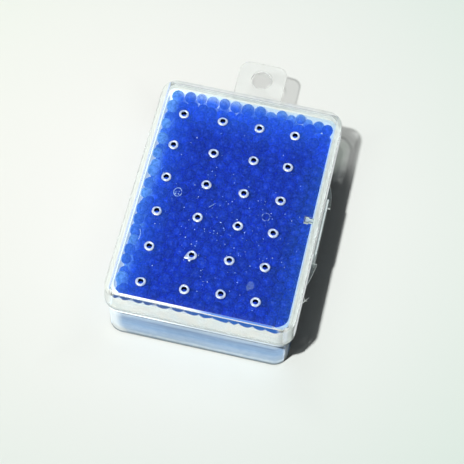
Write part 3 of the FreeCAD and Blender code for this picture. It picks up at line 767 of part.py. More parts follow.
def make_lid():
    shell = drafted(inset(0, 0, 0), LID_Z0, inset(LID_DRAFT, LID_DRAFT, LID_DRAFT), LID_TOP_Z)
    shell = shell.makeFillet(LID_EDGE_R, edges_at(shell, LID_TOP_Z))
    top_inset = LID_WALL + HOLLOW_DRAFT
    hollow = drafted(
        inset(LID_WALL, LID_WALL, LID_WALL), LID_Z0 - CLEAR,
        inset(top_inset, top_inset, LID_WALL + HOLLOW_R_DRAFT), LID_CEILING_Z,
    )
    hollow = hollow.makeFillet(LID_INNER_R, edges_at(hollow, LID_CEILING_Z))
    leaf = box(LEAF_X0, LID_LEAF_DEPTH - HALF_W, -HINGE_HALF, HINGE_HALF,
               LID_Z0 + LEAF_SETBACK, PARTING_Z + LEAF_H)
    lid = shell.fuse(leaf).cut(hollow)
    collars = [
        Part.makeCone(COLLAR_R0, COLLAR_R1, COLLAR_H + COLLAR_SINK,
                      Vector(x, y, LID_TOP_Z - COLLAR_SINK))
        for x, y in VENTS
    ]
    lid = lid.fuse([make_rib()] + collars)
    for x, y in VENTS:
        lid = lid.cut(Part.makeCylinder(VENT_R, DRILL_H, Vector(x, y, LID_TOP_Z - DRILL_H / 2)))
    return lid.removeSplitter()


def make_hinge():
    return box(LEAF_X0 - HINGE_T, LEAF_X0 - SLIT, -HINGE_HALF, HINGE_HALF,
               PARTING_Z - LEAF_H, PARTING_Z + LEAF_H)


def make_tongue():
    tongue = box(TONGUE_X0, TONGUE_X1, -TONGUE_HALF, TONGUE_HALF, TONGUE_Z0, TONGUE_Z1)
    outer_edges = [e for e in tongue.Edges if e.BoundBox.XMin > TONGUE_X1 - 1e-6]
    tongue = tongue.makeFillet(TONGUE_EDGE_R, outer_edges)
    start = Vector(TONGUE_X0, -HOOK_HALF, HOOK_Z)
    hook = Part.makeCylinder(HOOK_R, 2 * HOOK_HALF, start, Vector(0, 1, 0))
    return tongue.fuse(hook).removeSplitter()


def make_flexure():
    return box(HALF_W - FLEX_SINK, TONGUE_X0 - SLIT, -TONGUE_HALF, TONGUE_HALF,
               FLEX_Z0, FLEX_Z1)


def make_gel_layer(beads):
    return Part.makeCompound([Part.makeSphere(r, Vector(x, y, z)) for x, y, z, r in beads])


def export(shape, name):
    shape.exportStep("parts/%s.step" % name)


os.makedirs("parts", exist_ok=True)
export(make_tray(), "tray")
export(make_lid(), "lid")
export(make_hinge(), "living_hinge")
export(make_tongue(), "latch_tongue")
export(make_flexure(), "latch_flexure")

beads = [tuple(int(v) / 100.0 for v in item.split(",")) for item in BEADS.split()]
count = len(beads)
for k in range(BEAD_LAYERS):
    layer = beads[k * count // BEAD_LAYERS:(k + 1) * count // BEAD_LAYERS]
    export(make_gel_layer(layer), "gel_layer_%02d" % (k + 1))
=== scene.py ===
"""A clear plastic case full of blue gel beads: a tray, and a vented lid on a living hinge.

The case stands on z = 0, centred on the z axis. The hinge is on the left (-x), the latch on
the right (+x), and the camera looks from the near side (-y), above. Units are metres in the
materials and the scene, and millimetres times MM in the meshes.
"""
import math
import random
import bmesh
import bpy
from mathutils import Matrix, Vector


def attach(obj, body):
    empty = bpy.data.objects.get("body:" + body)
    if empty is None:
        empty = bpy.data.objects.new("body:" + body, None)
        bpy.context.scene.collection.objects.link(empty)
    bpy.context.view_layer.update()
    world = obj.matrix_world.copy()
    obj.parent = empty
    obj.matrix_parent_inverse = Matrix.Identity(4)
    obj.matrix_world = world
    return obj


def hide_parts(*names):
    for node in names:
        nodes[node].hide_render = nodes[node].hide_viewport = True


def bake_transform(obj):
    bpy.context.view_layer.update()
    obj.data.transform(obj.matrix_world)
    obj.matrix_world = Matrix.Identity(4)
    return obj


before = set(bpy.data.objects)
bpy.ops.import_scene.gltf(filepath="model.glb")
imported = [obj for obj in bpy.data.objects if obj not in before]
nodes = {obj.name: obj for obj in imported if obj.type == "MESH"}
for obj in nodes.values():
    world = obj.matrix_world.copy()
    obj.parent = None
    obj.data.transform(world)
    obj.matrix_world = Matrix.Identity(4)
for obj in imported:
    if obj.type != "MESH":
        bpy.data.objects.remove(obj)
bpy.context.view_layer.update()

random.seed(5)
scene = bpy.context.scene
MM = 0.001
TURN = 6.283  # radians in a turn, as rounded for the small marks
LID_TOP = 27.81  # height at which marks lie on the lid, mm
LAMP_PLACE = Vector((-0.180, -0.328, 0.800))

# Centres (x, y) of the vents in the lid, mm, in rows from the far side to the near side
VENTS = [
    (-22.1, 29.9), (-8.3, 30.2), (4.6, 30.4), (17.2, 30.4),
    (-22.6, 16.8), (-8.4, 16.8), (5.5, 17.2), (17.4, 17.4),
    (-21.9, 3.7), (-8.0, 4.0), (5.1, 3.6), (17.8, 3.8),
    (-21.8, -9.9), (-7.9, -9.2), (5.9, -9.2), (18.0, -9.1),
    (-20.9, -23.7), (-6.5, -23.7), (6.1, -22.7), (18.1, -22.4),
    (-20.4, -37.2), (-5.9, -36.7), (6.1, -35.5), (17.8, -35.7),
]


# ---------------------------------------------------------------- node helpers
# They build in the tree that open_tree() opened last. Values may be numbers or sockets.
def open_tree(owner):
    global tree
    owner.use_nodes = True
    tree = owner.node_tree
    tree.nodes.clear()


def material(name):
    made = bpy.data.materials.new(name)
    open_tree(made)
    return made


def node(kind, **settings):
    made = tree.nodes.new("ShaderNode" + kind)
    for key, value in settings.items():
        setattr(made, key, value)
    return made


def put(socket, value):
    if isinstance(value, bpy.types.NodeSocket):
        tree.links.new(value, socket)
    elif isinstance(value, tuple) and socket.type == "RGBA":
        socket.default_value = (*value, 1)
    else:
        socket.default_value = value


def wired(kind, *values, **settings):
    """Adds a node, fills its inputs in order and returns its outputs."""
    made = node(kind, **settings)
    for index, value in enumerate(values):
        put(made.inputs[index], value)
    return made.outputs


def feed(kind, **inputs):
    """Adds a node, fills the named inputs and returns its first output."""
    made = node(kind)
    for key, value in inputs.items():
        put(made.inputs[key], value)
    return made.outputs[0]


def output(surface, kind="OutputMaterial"):
    put(node(kind).inputs["Surface"], surface)


def calc(operation, first, second=0.0):
    return wired("Math", first, second, operation=operation)[0]


def vector_calc(operation, *vectors):
    return wired("VectorMath", *vectors, operation=operation)


def chain(operation, first, *others):
    for value in others:
        first = calc(operation, first, value)
    return first


def times(*values):
    return chain("MULTIPLY", *values)


def largest(*values):
    return chain("MAXIMUM", *values)


def invert(value):
    return calc("SUBTRACT", 1.0, value)


def magnitude(value):
    return calc("ABSOLUTE", value)


def lerp(share, start, end):
    """start where share is 0, end where it is 1."""
    return calc("ADD", times(invert(share), start), times(share, end))


def step(value, off, on):
    """0 at off, 1 at on, smooth between; off may be the larger one."""
    made = node("MapRange", interpolation_type="SMOOTHSTEP")
    put(made.inputs["Value"], value)
    put(made.inputs["From Min"], min(off, on))
    put(made.inputs["From Max"], max(off, on))
    if off > on:
        put(made.inputs["To Min"], 1.0)
        put(made.inputs["To Max"], 0.0)
    return made.outputs["Result"]


def mix(share, base, over):
    made = node("Mix", data_type="RGBA")
    for index, value in ((0, share), (6, base), (7, over)):
        put(made.inputs[index], value)
    return made.outputs[2]


def paint(colour, *coats):
    """Lays (mask, colour) coats over a colour, in order."""
    for mask, coat in coats:
        colour = mix(mask, colour, coat)
    return colour


def mix_shaders(share, base, over):
    return wired("MixShader", share, base, over)[0]


def add_shaders(first, second):
    return wired("AddShader", first, second)[0]


def ramp(value, *stops):
    """A ramp through (position, grey or colour) stops."""
    made = node("ValToRGB")
    elements = made.color_ramp.elements
    while len(elements) < len(stops):
        elements.new(0.5)
    for element, (position, colour) in zip(elements, stops):
        element.position = position
        grey = isinstance(colour, (int, float))
        element.color = (colour, colour, colour, 1) if grey else (*colour, 1)
    put(made.inputs[0], value)
    return made.outputs[0]


def noise(vector, scale, detail=2.0, rough=0.5):
    return feed("TexNoise", Vector=vector, Scale=scale, Detail=detail, Roughness=rough)


def bump(height, distance, strength):
    return feed("Bump", Strength=strength, Distance=distance, Height=height)


def object_place():
    return node("TexCoord").outputs["Object"]


def split(vector):
    return wired("SeparateXYZ", vector)


def combine(*channels):
    return wired("CombineColor", *channels)[0]


def output_with_shadow(surface, shadow_colour):
    """Ends a material that only tints the light passing through it."""
    clear = feed("BsdfTransparent", Color=shadow_colour)
    output(mix_shaders(node("LightPath").outputs["Is Shadow Ray"], surface, clear))


# ---------------------------------------------------------------- clear plastics
def plastic(name, zones):
    """Clear moulded plastic, shared out by zones(place, flatness) between kinds of place.

    zones returns: haze, the milky share, with its colour and its painted glow; rough, of the
    clear share; shade, the light let through to shadows; and if need be the black share, painted
    shade; veil, the greying of the clear share; the painted edge shade, greying walls seen
    edge-on.
    """
    mat = material(name)
    mat.cycles.use_bump_map_correction = False
    place = object_place()
    geometry = node("NewGeometry").outputs
    local_normal = wired(
        "VectorTransform", geometry["True Normal"],
        vector_type="NORMAL", convert_from="WORLD", convert_to="OBJECT",
    )[0]
    flatness = magnitude(split(local_normal)[2])
    look = dict(colour=(0.93, 0.95, 0.92), painted_black_share=0.0, veil=0.0, painted_edge_shade=0.0)
    look.update(zones(place, flatness))
    glass = feed(
        "BsdfGlass",
        Color=mix(look["veil"], (0.975, 0.99, 0.985), (0.93, 0.955, 0.95)),
        Roughness=look["rough"],
        IOR=1.49,
        Normal=bump(noise(place, scale=90.0), distance=0.00012, strength=0.5),
    )
    # The milky share is lit as if it faced up: light from above spreads through the wall
    lifted = vector_calc("ADD", geometry["Normal"], (-0.25, -0.5, 2.2))[0]
    lifted = vector_calc("NORMALIZE", lifted)[0]
    milky = feed("BsdfDiffuse", Color=look["colour"], Normal=lifted)
    # Painted glow: light given off by the plastic itself, though it is no lamp
    painted_glow = feed("Emission", Color=look["colour"], Strength=look["painted_glow"])
    body = mix_shaders(look["haze"], glass, add_shaders(milky, painted_glow))
    # Painted edge shade: walls seen edge-on are greyed
    edge_on = step(wired("LayerWeight", 0.5)["Facing"], 0.62, 0.98)
    grey = feed("BsdfDiffuse", Color=(0.50, 0.56, 0.55), Normal=lifted)
    body = mix_shaders(times(edge_on, look["painted_edge_shade"]), body, grey)
    # Painted shade: the black share
    painted_black_bsdf = feed("BsdfDiffuse", Color=(0.004, 0.004, 0.012))
    body = mix_shaders(look["painted_black_share"], body, painted_black_bsdf)
    output_with_shadow(body, combine(*[look["shade"]] * 3))
    return mat


def lid_zones(place, flatness):
    x, y, z = split(place)
    side_x = magnitude(x)
    side_y = magnitude(y)

    # Near edge, all painted light: a highlight line, a scalloped band painted as the beads seen
    # bent through the edge, and a pale fade below them
    near = times(step(y, -0.0400, -0.0412), step(side_x, 0.0296, 0.0280))
    painted_highlight = times(
        step(y, -0.04268, -0.04288), step(y, -0.04346, -0.04326),
        step(x, -0.0290, -0.0270), step(x, 0.0262, 0.0245), step(z, 0.0268, 0.0270),
    )
    wobble = times(noise(place, scale=130.0, detail=1.0), 5.0)
    scallops = magnitude(calc("SINE", calc("ADD", times(x, 680.0), wobble)))
    band_foot = calc(
        "SUBTRACT", lerp(step(x, -0.010, 0.010), 0.02722, 0.02685), times(scallops, 0.0015)
    )
    # Painted refraction: a scalloped dark blue band, as the beads would show bent through the
    # edge
    painted_bead_band = times(
        step(y, -0.04350, -0.04366), step(calc("SUBTRACT", z, band_foot), 0.0, 0.0002),
        step(x, -0.0290, -0.0275), step(x, 0.0285, 0.0265),
    )
    # Painted fade: pale blue below the painted beads
    painted_fade = times(
        step(y, -0.0437, -0.0439), step(z, 0.0254, 0.0264), step(side_x, 0.0290, 0.0275)
    )

    # Top pane, the raised collars on it, the vent bores and the rib at its right edge
    pane = times(
        step(side_x, 0.0304, 0.0298), step(side_y, 0.0424, 0.0418), step(z, 0.0258, 0.0262)
    )
    top = step(z, 0.0255, 0.0265)
    collar = times(pane, step(z, 0.02782, 0.02786))
    # Painted shade: the vent bores are painted black
    bore = times(pane, step(flatness, 0.35, 0.25))
    rib = times(
        step(x, 0.0267, 0.0268), step(magnitude(calc("ADD", y, 0.0005)), 0.0014, 0.0012),
        step(z, 0.02642, 0.02636), step(z, 0.0247, 0.0249),
    )

    # Lower lip, painted darker as shade; right wall; its outermost rim, painted as a highlight
    # line; strip along the left edge; right shoulder
    lip = step(z, 0.0188, 0.0183)
    right = times(step(x, 0.0313, 0.0319), step(z, 0.0268, 0.0262))
    # Painted highlight: the outermost right rim is a bright line
    painted_rim_highlight = times(
        step(x, 0.0319, 0.0321), step(z, 0.0258, 0.0250), step(z, 0.0188, 0.0200)
    )
    left_strip = times(
        step(x, -0.0294, -0.0299), step(x, -0.0318, -0.0313), step(z, 0.0255, 0.0262)
    )
    shoulder = times(step(x, 0.0298, 0.0304), step(x, 0.0321, 0.0319))
    border = times(invert(pane), invert(near))

    # Milky share of each zone
    cloud = ramp(noise(place, scale=160.0, detail=3.0, rough=0.6), (0.3, 0.75), (0.7, 1.15))
    haze = largest(times(border, lerp(top, 0.36, 0.46)), times(near, invert(top), 0.05))
    haze = largest(
        times(haze, cloud), times(pane, 0.0035), times(collar, 0.9), times(rib, 0.62),
        times(lip, invert(right), 0.66), times(near, top, 0.008), times(painted_highlight, 0.95),
        times(painted_bead_band, 0.96), times(painted_fade, 0.40), times(right, 0.70), times(painted_rim_highlight, 0.93),
        times(left_strip, 0.66),
    )
    painted_bead_blue = mix(step(x, -0.015, 0.010), (0.048, 0.10, 0.28), (0.020, 0.105, 0.40))
    painted_highlight_blue = mix(step(x, -0.006, 0.006), (0.95, 1.0, 1.0), (0.10, 0.25, 0.76))
    colour = paint(
        (0.87, 0.90, 0.87),
        # Painted shade: the lower lip is darker along the parting
        (lip, (0.46, 0.52, 0.53)),
        (shoulder, (0.66, 0.72, 0.69)),
        (left_strip, (0.88, 0.93, 0.87)),
        (painted_rim_highlight, (0.92, 0.97, 0.98)),
        (collar, (0.80, 0.88, 1.0)),
        (pane, (0.55, 0.70, 1.0)),
        (rib, (0.56, 0.67, 0.64)),
        (painted_fade, (0.46, 0.62, 0.92)),
        (painted_bead_band, painted_bead_blue),
        (painted_highlight, painted_highlight_blue),
    )

    # Walls that face the lamp pass its light on; those behind bend it away, least at the far end
    lit = largest(
        step(x, -0.0285, -0.0300), times(step(y, -0.0405, -0.0420), step(x, 0.0310, 0.0255))
    )
    far = step(y, 0.0190, 0.0340)
    upright_shade = lerp(lit, lerp(far, 0.04, 0.70), 0.90)
    border_shade = lerp(lit, lerp(far, 0.40, lerp(lip, 0.50, 0.97)), 0.92)
    shade = lerp(step(flatness, 0.75, 0.95), upright_shade, lerp(pane, border_shade, 0.94))
    shade = times(shade, invert(times(collar, 0.85)), invert(times(bore, 0.9)))

    # Painted glow: the border away from the lamp, the rib, the left of the highlight line, the
    # right wall and its rim give off light of their own
    painted_glow = largest(
        times(invert(pane), invert(lit), invert(lip), 0.16), times(rib, 0.10),
        times(painted_highlight, step(x, 0.006, -0.004), 0.25), times(right, 0.30), times(painted_rim_highlight, 0.72),
    )
    # Painted edge shade: the border greys where it is seen edge-on
    painted_edge_shade = times(border, invert(painted_rim_highlight), 0.22)
    return dict(
        haze=haze, colour=colour, rough=0.03, shade=shade, painted_black_share=bore, painted_glow=painted_glow,
        veil=border, painted_edge_shade=painted_edge_shade,
    )


# Tray wall from the foot up: (height / WALL_HEIGHT, colour), painted light and shade: a dark
# foot of painted shade, a pale band, blue, painted shade under the rim, then paler again
WALL_HEIGHT = 0.018
WALL_PAINTED_TONES = [
    (0.0, (0.20, 0.25, 0.28)), (0.075, (0.24, 0.30, 0.33)), (0.100, (0.40, 0.48, 0.51)),
    (0.122, (0.60, 0.72, 0.78)), (0.170, (0.60, 0.72, 0.79)), (0.205, (0.39, 0.50, 0.60)),
    (0.36, (0.36, 0.49, 0.64)), (0.45, (0.25, 0.40, 0.59)), (0.61, (0.22, 0.34, 0.50)),
    (0.665, (0.18, 0.26, 0.38)), (0.71, (0.30, 0.39, 0.47)), (0.79, (0.44, 0.53, 0.60)),
    (0.86, (0.50, 0.58, 0.63)),
]


def tray_zones(place, flatness):
    x, y, z = split(place)
    side_x = magnitude(x)
    side_y = magnitude(y)

    # Upper rim, tab at the far end, fin at the right, and the lower walls between the corners
    rim = step(z, 0.0162, 0.0166)
    tab = step(y, 0.0443, 0.0446)
    fin = step(x, 0.0323, 0.0325)
    near = step(y, -0.0395, -0.0410)
    slanted_x = calc("SUBTRACT", x, times(step(z, 0.0065, 0.0020), 0.0022))
    wall = times(
        step(z, 0.0164, 0.0160),
        largest(
            times(near, step(slanted_x, -0.0286, -0.0250), step(x, 0.0302, 0.0292)),
            times(invert(near), step(side_y, 0.0412, 0.0404)),
            times(step(y, 0.0395, 0.0410), step(side_x, 0.0292, 0.0284)),
        ),
    )

    # Inner face of the right rim, the cavity that holds the beads, and the rim's outer face
    inner = times(
        step(x, 0.0304, 0.0296), step(x, 0.0290, 0.0294), rim, step(y, -0.0412, -0.0400)
    )
    cavity = times(
        step(side_x, 0.0300, 0.0297), step(side_y, 0.0419, 0.0416), step(z, 0.0015, 0.0022)
    )
    face = times(
        step(z, 0.0164, 0.0165), step(z, 0.0180, 0.0179),
        largest(step(side_y, 0.0434, 0.0437), step(side_x, 0.0314, 0.0317)),
        invert(tab), invert(fin),
    )
    flat = step(flatness, 0.75, 0.95)
    # Painted glow: the fin's edge is lit up as a bright outline
    fin_edge_painted_glow = times(fin, invert(flat))

    blots = noise(place, scale=130.0, detail=3.0, rough=0.6)
    # Stretched sideways into fine level streaks
    level_place = vector_calc("MULTIPLY", place, (0.10, 0.10, 1.0))[0]
    streaks = noise(level_place, scale=900.0, rough=0.6)
    cream = paint(
        (0.83, 0.93, 0.92),
        (ramp(streaks, (0.35, 0.0), (0.65, 1.0)), (0.95, 1.0, 1.0)),
        (ramp(noise(place, scale=190.0, detail=1.0), (0.40, 0.0), (0.60, 0.7)),
         (0.95, 0.94, 0.86)),
    )
    # The blots make the wall's levels uneven
    level = calc("ADD", z, times(calc("SUBTRACT", blots, 0.5), 0.0016))
    grain = noise(place, scale=420.0, detail=3.0, rough=0.6)
    wall_painted_tone = paint(
        ramp(calc("DIVIDE", level, WALL_HEIGHT), *WALL_PAINTED_TONES),
        (ramp(streaks, (0.35, 0.0), (0.65, 0.30)), (0.42, 0.58, 0.80)),
        (ramp(grain, (0.40, 0.0), (0.62, 0.22)), (0.16, 0.28, 0.48)),
        (times(step(x, 0.012, -0.012), 0.13), (0.0, 0.0, 0.0)),
    )
    cavity_blue = mix(step(y, 0.036, 0.041), (0.44, 0.64, 0.92), (0.50, 0.63, 0.72))
    # Painted light: the rim's outer face is paler on the lamp's side, at the left
    face_painted_light = mix(step(x, -0.016, 0.006), (0.90, 0.98, 1.0), (0.62, 0.72, 0.79))
    colour = paint(
        mix(rim, (0.80, 0.87, 0.87), cream),
        (times(rim, step(x, 0.0288, 0.0294)), (0.72, 0.79, 0.77)),
        (inner, (0.52, 0.68, 0.88)),
        (wall, wall_painted_tone),
        # Painted light: the cavity wall seen between the beads is painted pale, palest at the
        # left
        (cavity, cavity_blue),
        (times(cavity, step(x, -0.0200, -0.0285)), (0.70, 0.83, 0.95)),
        (face, face_painted_light),
        # Painted shade: a dark band round the foot
        (times(step(z, 0.0016, 0.0012), invert(cavity)), (0.22, 0.27, 0.29)),
        (tab, (0.80, 0.825, 0.80)),
    )

    # Light let through: upright and level walls apart, more of it at the far end
    far = step(y, 0.0190, 0.0340)
    outer = times(
        step(z, 0.0160, 0.0164),
        largest(step(side_x, 0.0314, 0.0317), step(side_y, 0.0434, 0.0437)),
    )
    under = times(step(z, 0.0160, 0.0164), step(z, 0.0168, 0.0166))
    upright_shade = lerp(far, 0.06, lerp(outer, lerp(rim, 0.59, 0.80), 0.60))
    shade = lerp(flat, upright_shade, lerp(far, 0.55, lerp(under, 0.97, 0.62)))
    shade = lerp(tab, shade, lerp(flat, 0.50, 0.865))

    # Painted glow: the rim along the right, the fin's edge, the cavity wall and the outer face
    # give off light of their own
    painted_glow = largest(
        times(rim, step(x, 0.0285, 0.0295), 0.05), times(fin_edge_painted_glow, 0.75),
        times(cavity, lerp(step(x, 0.0, -0.020), 0.26, 0.76)),
        times(face, lerp(step(x, -0.016, 0.006), 0.32, 0.12)),
    )
    # Milky share of each zone, the last one being the foot
    haze = times(lerp(rim, 0.66, 0.90), ramp(blots, (0.3, 0.93), (0.7, 1.05)))
    haze = lerp(fin, lerp(tab, haze, 0.45), 0.26)
    haze = largest(
        haze, times(fin_edge_painted_glow, 0.75), times(face, 0.9), times(cavity, 0.92),
        times(wall, 0.80), times(step(z, 0.0016, 0.0012), 0.85),
    )
    return dict(
        haze=haze, colour=colour, rough=lerp(rim, 0.22, 0.06), shade=shade, painted_glow=painted_glow,
        veil=times(rim, invert(tab), 0.5), painted_edge_shade=lerp(tab, times(rim, 0.3), 0.5),
    )


def hinge_zones(place, flatness):
    cloud = noise(place, scale=200.0, detail=3.0, rough=0.6)
    # The glow is painted light, given off by the web itself
    return dict(
        haze=ramp(cloud, (0.3, 0.35), (0.7, 0.55)), rough=0.12,
        shade=lerp(step(flatness, 0.75, 0.95), 0.2, 0.7), painted_glow=0.2,
    )


def tongue_zones(place, flatness):
    cloud = noise(place, scale=200.0, detail=3.0, rough=0.6)
    flat = step(flatness, 0.75, 0.95)
    # The glow is painted light; walls seen edge-on get painted shade
    return dict(
        haze=ramp(cloud, (0.3, 0.55), (0.7, 0.75)),
        colour=mix(flat, (0.66, 0.74, 0.74), (0.58, 0.65, 0.66)),
        rough=0.05, shade=lerp(flat, 0.3, 0.6), painted_glow=0.22, painted_edge_shade=0.3,
    )


# ---------------------------------------------------------------- gel beads
def gel_material(name):
    mat = material(name)
    place = object_place()
    x, y, _ = split(place)
    bead = node("NewGeometry").outputs["Random Per Island"]
    spots = noise(place, scale=900.0, rough=0.6)

    # Every bead has its own depth of colour; painted light makes the ones against the walls
    # paler
    painted_wall_light = largest(
        step(x, -0.0255, -0.0295), step(y, 0.0370, 0.0410),
        times(step(x, 0.0275, 0.0295), 0.4),
    )
    body = paint(
        (0.004, 0.030, 0.62),
        (bead, (0.012, 0.070, 0.94)),
        (times(painted_wall_light, 0.55), (0.07, 0.28, 0.80)),
        (times(step(y, 0.0370, 0.0400), 0.7), (0.12, 0.30, 0.60)),
        (ramp(spots, (0.38, 0.75), (0.60, 0.0)), (0.006, 0.022, 0.34)),
    )
    # The see-through share is painted paler near the walls too
    tint = paint(
        (0.10, 0.24, 0.90), (bead, (0.20, 0.38, 0.97)), (times(painted_wall_light, 0.6), (0.58, 0.80, 0.98))
    )
    dents = noise(place, scale=620.0, detail=3.0, rough=0.6)
    normal = bump(dents, distance=0.0004, strength=0.7)
    glass = feed("BsdfGlass", Color=tint, Roughness=0.2, IOR=1.22, Normal=normal)
    diffuse = feed("BsdfDiffuse", Color=body, Normal=normal)
    translucent = feed("BsdfTranslucent", Color=body, Normal=normal)
    surface = mix_shaders(0.74, glass, mix_shaders(0.5, diffuse, translucent))

    # Painted glow for the light that wanders between the beads, most of it near the walls; the
    # outermost beads at the far and left walls are painted almost colourless
    outskirts = largest(
        step(x, -0.0150, -0.0300), step(y, 0.0220, 0.0410),
        times(step(x, 0.0200, 0.0295), 0.35),
    )
    far_beads = times(
        step(y, 0.0376, 0.0402), lerp(step(x, 0.012, -0.012), 0.80, 1.0),
        lerp(step(bead, 0.30, 0.70), 0.40, 1.0),
    )
    left_beads = times(step(x, -0.0240, -0.0272), lerp(step(bead, 0.35, 0.75), 0.20, 1.0))
    grain = noise(place, scale=1500.0, detail=3.0, rough=0.65)
    painted_bead_glow = paint(
        mix(outskirts, (0.002, 0.017, 0.060), (0.012, 0.074, 0.220)),
        (ramp(grain, (0.42, 0.0), (0.66, 0.8)),
         mix(outskirts, (0.020, 0.066, 0.27), (0.040, 0.15, 0.46))),
        (times(far_beads, ramp(spots, (0.3, 0.45), (0.7, 1.0))),
         mix(step(x, 0.006, -0.012), (0.15, 0.28, 0.36), (0.38, 0.48, 0.50))),
        (left_beads,
         mix(ramp(spots, (0.3, 0.0), (0.7, 1.0)), (0.05, 0.17, 0.24), (0.14, 0.33, 0.38))),
        (step(x, -0.0286, -0.0294), (0.40, 0.58, 0.72)),
    )
    surface = add_shaders(surface, feed("Emission", Color=painted_bead_glow, Strength=1.0))
    gloss = feed("BsdfGlossy", Color=(0.35, 0.55, 1), Roughness=0.35, Normal=normal)
    surface = mix_shaders(times(feed("Fresnel", IOR=1.25), 0.4), surface, gloss)

    right_shadow = mix(step(y, 0.0130, 0.0330), (0.12, 0.13, 0.16), (0.965, 0.98, 0.97))
    shadow = mix(step(x, 0.0180, 0.0240), (0.42, 0.52, 0.88), right_shadow)
    output_with_shadow(surface, shadow)
    return mat


# ---------------------------------------------------------------- materials on the CAD pieces
def dress(name, mat):
    nodes[name].data.materials.clear()
    nodes[name].data.materials.append(mat)


lid_plastic = plastic("lid_plastic", lid_zones)
tray_plastic = plastic("tray_plastic", tray_zones)
hinge_plastic = plastic("hinge_plastic", hinge_zones)
tongue_plastic = plastic("tongue_plastic", tongue_zones)
gel_blue = gel_material("gel_blue")

dress("lid", lid_plastic)
dress("tray", tray_plastic)
dress("latch_tongue", tongue_plastic)
for node_name in nodes:
    if node_name.startswith("gel_layer"):
        dress(node_name, gel_blue)


# ---------------------------------------------------------------- mesh helpers
def vert(bm, x, y, z):
    """A vertex at a place in millimetres."""
    return bm.verts.new((x * MM, y * MM, z * MM))


def skin(bm, rings, closed=False):
    """Smooth quads from each ring of vertices to the next, and round to the first if closed."""
    following = rings[1:] + rings[:1] if closed else rings[1:]
    for ring, after in zip(rings, following):
        count = len(ring)
        for i in range(count):
            j = (i + 1) % count
            bm.faces.new((ring[i], after[i], after[j], ring[j])).smooth = True


def tube(bm, rings):
    skin(bm, rings)
    bm.faces.new(rings[0])
    bm.faces.new(list(reversed(rings[-1])))


def link_mesh(bm, name, mat):
    mesh = bpy.data.meshes.new(name)
    bm.to_mesh(mesh)
    bm.free()
    made = bpy.data.objects.new(name, mesh)
    scene.collection.objects.link(made)
    mesh.materials.append(mat)
    return made


def lid_piece(bm, name, mat):
    """An object that moves with the lid."""
    bmesh.ops.recalc_face_normals(bm, faces=bm.faces)
    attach(link_mesh(bm, name, mat), "lid")


# ---------------------------------------------------------------- melted rims round the vents
FLASHED_VENT = 17
# Tongues of plastic run out from that vent: (direction, angular width, length mm)
FLASH_TONGUES = [(math.radians(215), 0.30, 1.1), (math.radians(262), 0.26, 0.9)]
RIM_OUTER, RIM_INNER = 1.74, 0.97  # mean radii, mm
RIM_FOOT, RIM_HEIGHT = 27.72, 0.64  # mm
RIM_STEPS, RIM_SIDES = 40, 10
RIM_UNEVENNESS = 0.55  # how far the waves move the radii
RIM_SWINGS = [(0.04, 0.10), (0.03, 0.07), (0.02, 0.05), (0.01, 0.03)]  # range of each wave


def melt_ring(bm, centre, seed, tongues):
    """An uneven bead of plastic standing up round a vent."""
    draw = random.Random(seed)
    phase = [draw.uniform(0, TURN) for _ in RIM_SWINGS]
    swing = [draw.uniform(*span) for span in RIM_SWINGS]
    rings = []
    for i in range(RIM_STEPS):
        angle = 2 * math.pi * i / RIM_STEPS
        wave = sum(swing[j] * math.sin((j + 1) * angle + phase[j]) for j in range(4))
        inner_wave = sum(swing[j] * math.sin((j + 2) * angle + phase[j] * 1.7) for j in range(3))
        outer = RIM_OUTER * (1 + RIM_UNEVENNESS * wave)
        inner = RIM_INNER * (1 + RIM_UNEVENNESS * inner_wave)
        height = RIM_HEIGHT + 0.5 * wave
        for direction, width, length in tongues:
            off = math.atan2(math.sin(angle - direction), math.cos(angle - direction))
            outer += length * math.exp(-((off / width) ** 2))
        middle = (outer + inner) / 2
        half = (outer - inner) / 2
        ring = []
        for j in range(RIM_SIDES):
            around = 2 * math.pi * j / RIM_SIDES
            radius = middle + half * math.cos(around)
            ring.append(vert(
                bm,
                centre[0] + radius * math.cos(angle),
                centre[1] + radius * math.sin(angle),
                RIM_FOOT + height * 0.5 + height * 0.5 * math.sin(around),
            ))
        rings.append(ring)
    skin(bm, rings, closed=True)


def melted_plastic():
    mat = material("melted_plastic")
    place = object_place()
    pits = noise(place, scale=2600.0, detail=3.0, rough=0.6)
    normal = bump(pits, distance=0.00006, strength=0.7)
    mottle = ramp(noise(place, scale=900.0), (0.35, 0.0), (0.65, 1.0))
    colour = mix(mottle, (0.40, 0.54, 0.86), (0.80, 0.88, 1.0))
    diffuse = feed("BsdfDiffuse", Color=colour, Normal=normal)
    translucent = feed("BsdfTranslucent", Color=colour, Normal=normal)
    gloss = feed("BsdfGlossy", Color=(1, 1, 1), Roughness=0.25, Normal=normal)
    output(mix_shaders(0.10, mix_shaders(0.15, diffuse, translucent), gloss))
    return mat


bm = bmesh.new()
for i, vent in enumerate(VENTS):
    melt_ring(bm, vent, seed=100 + i, tongues=FLASH_TONGUES if i == FLASHED_VENT else [])
lid_piece(bm, "vent_melt_rims", melted_plastic())


# ---------------------------------------------------------------- thin webs at the hinge and the latch
WEB_STEPS, WEB_ROWS = 36, 25


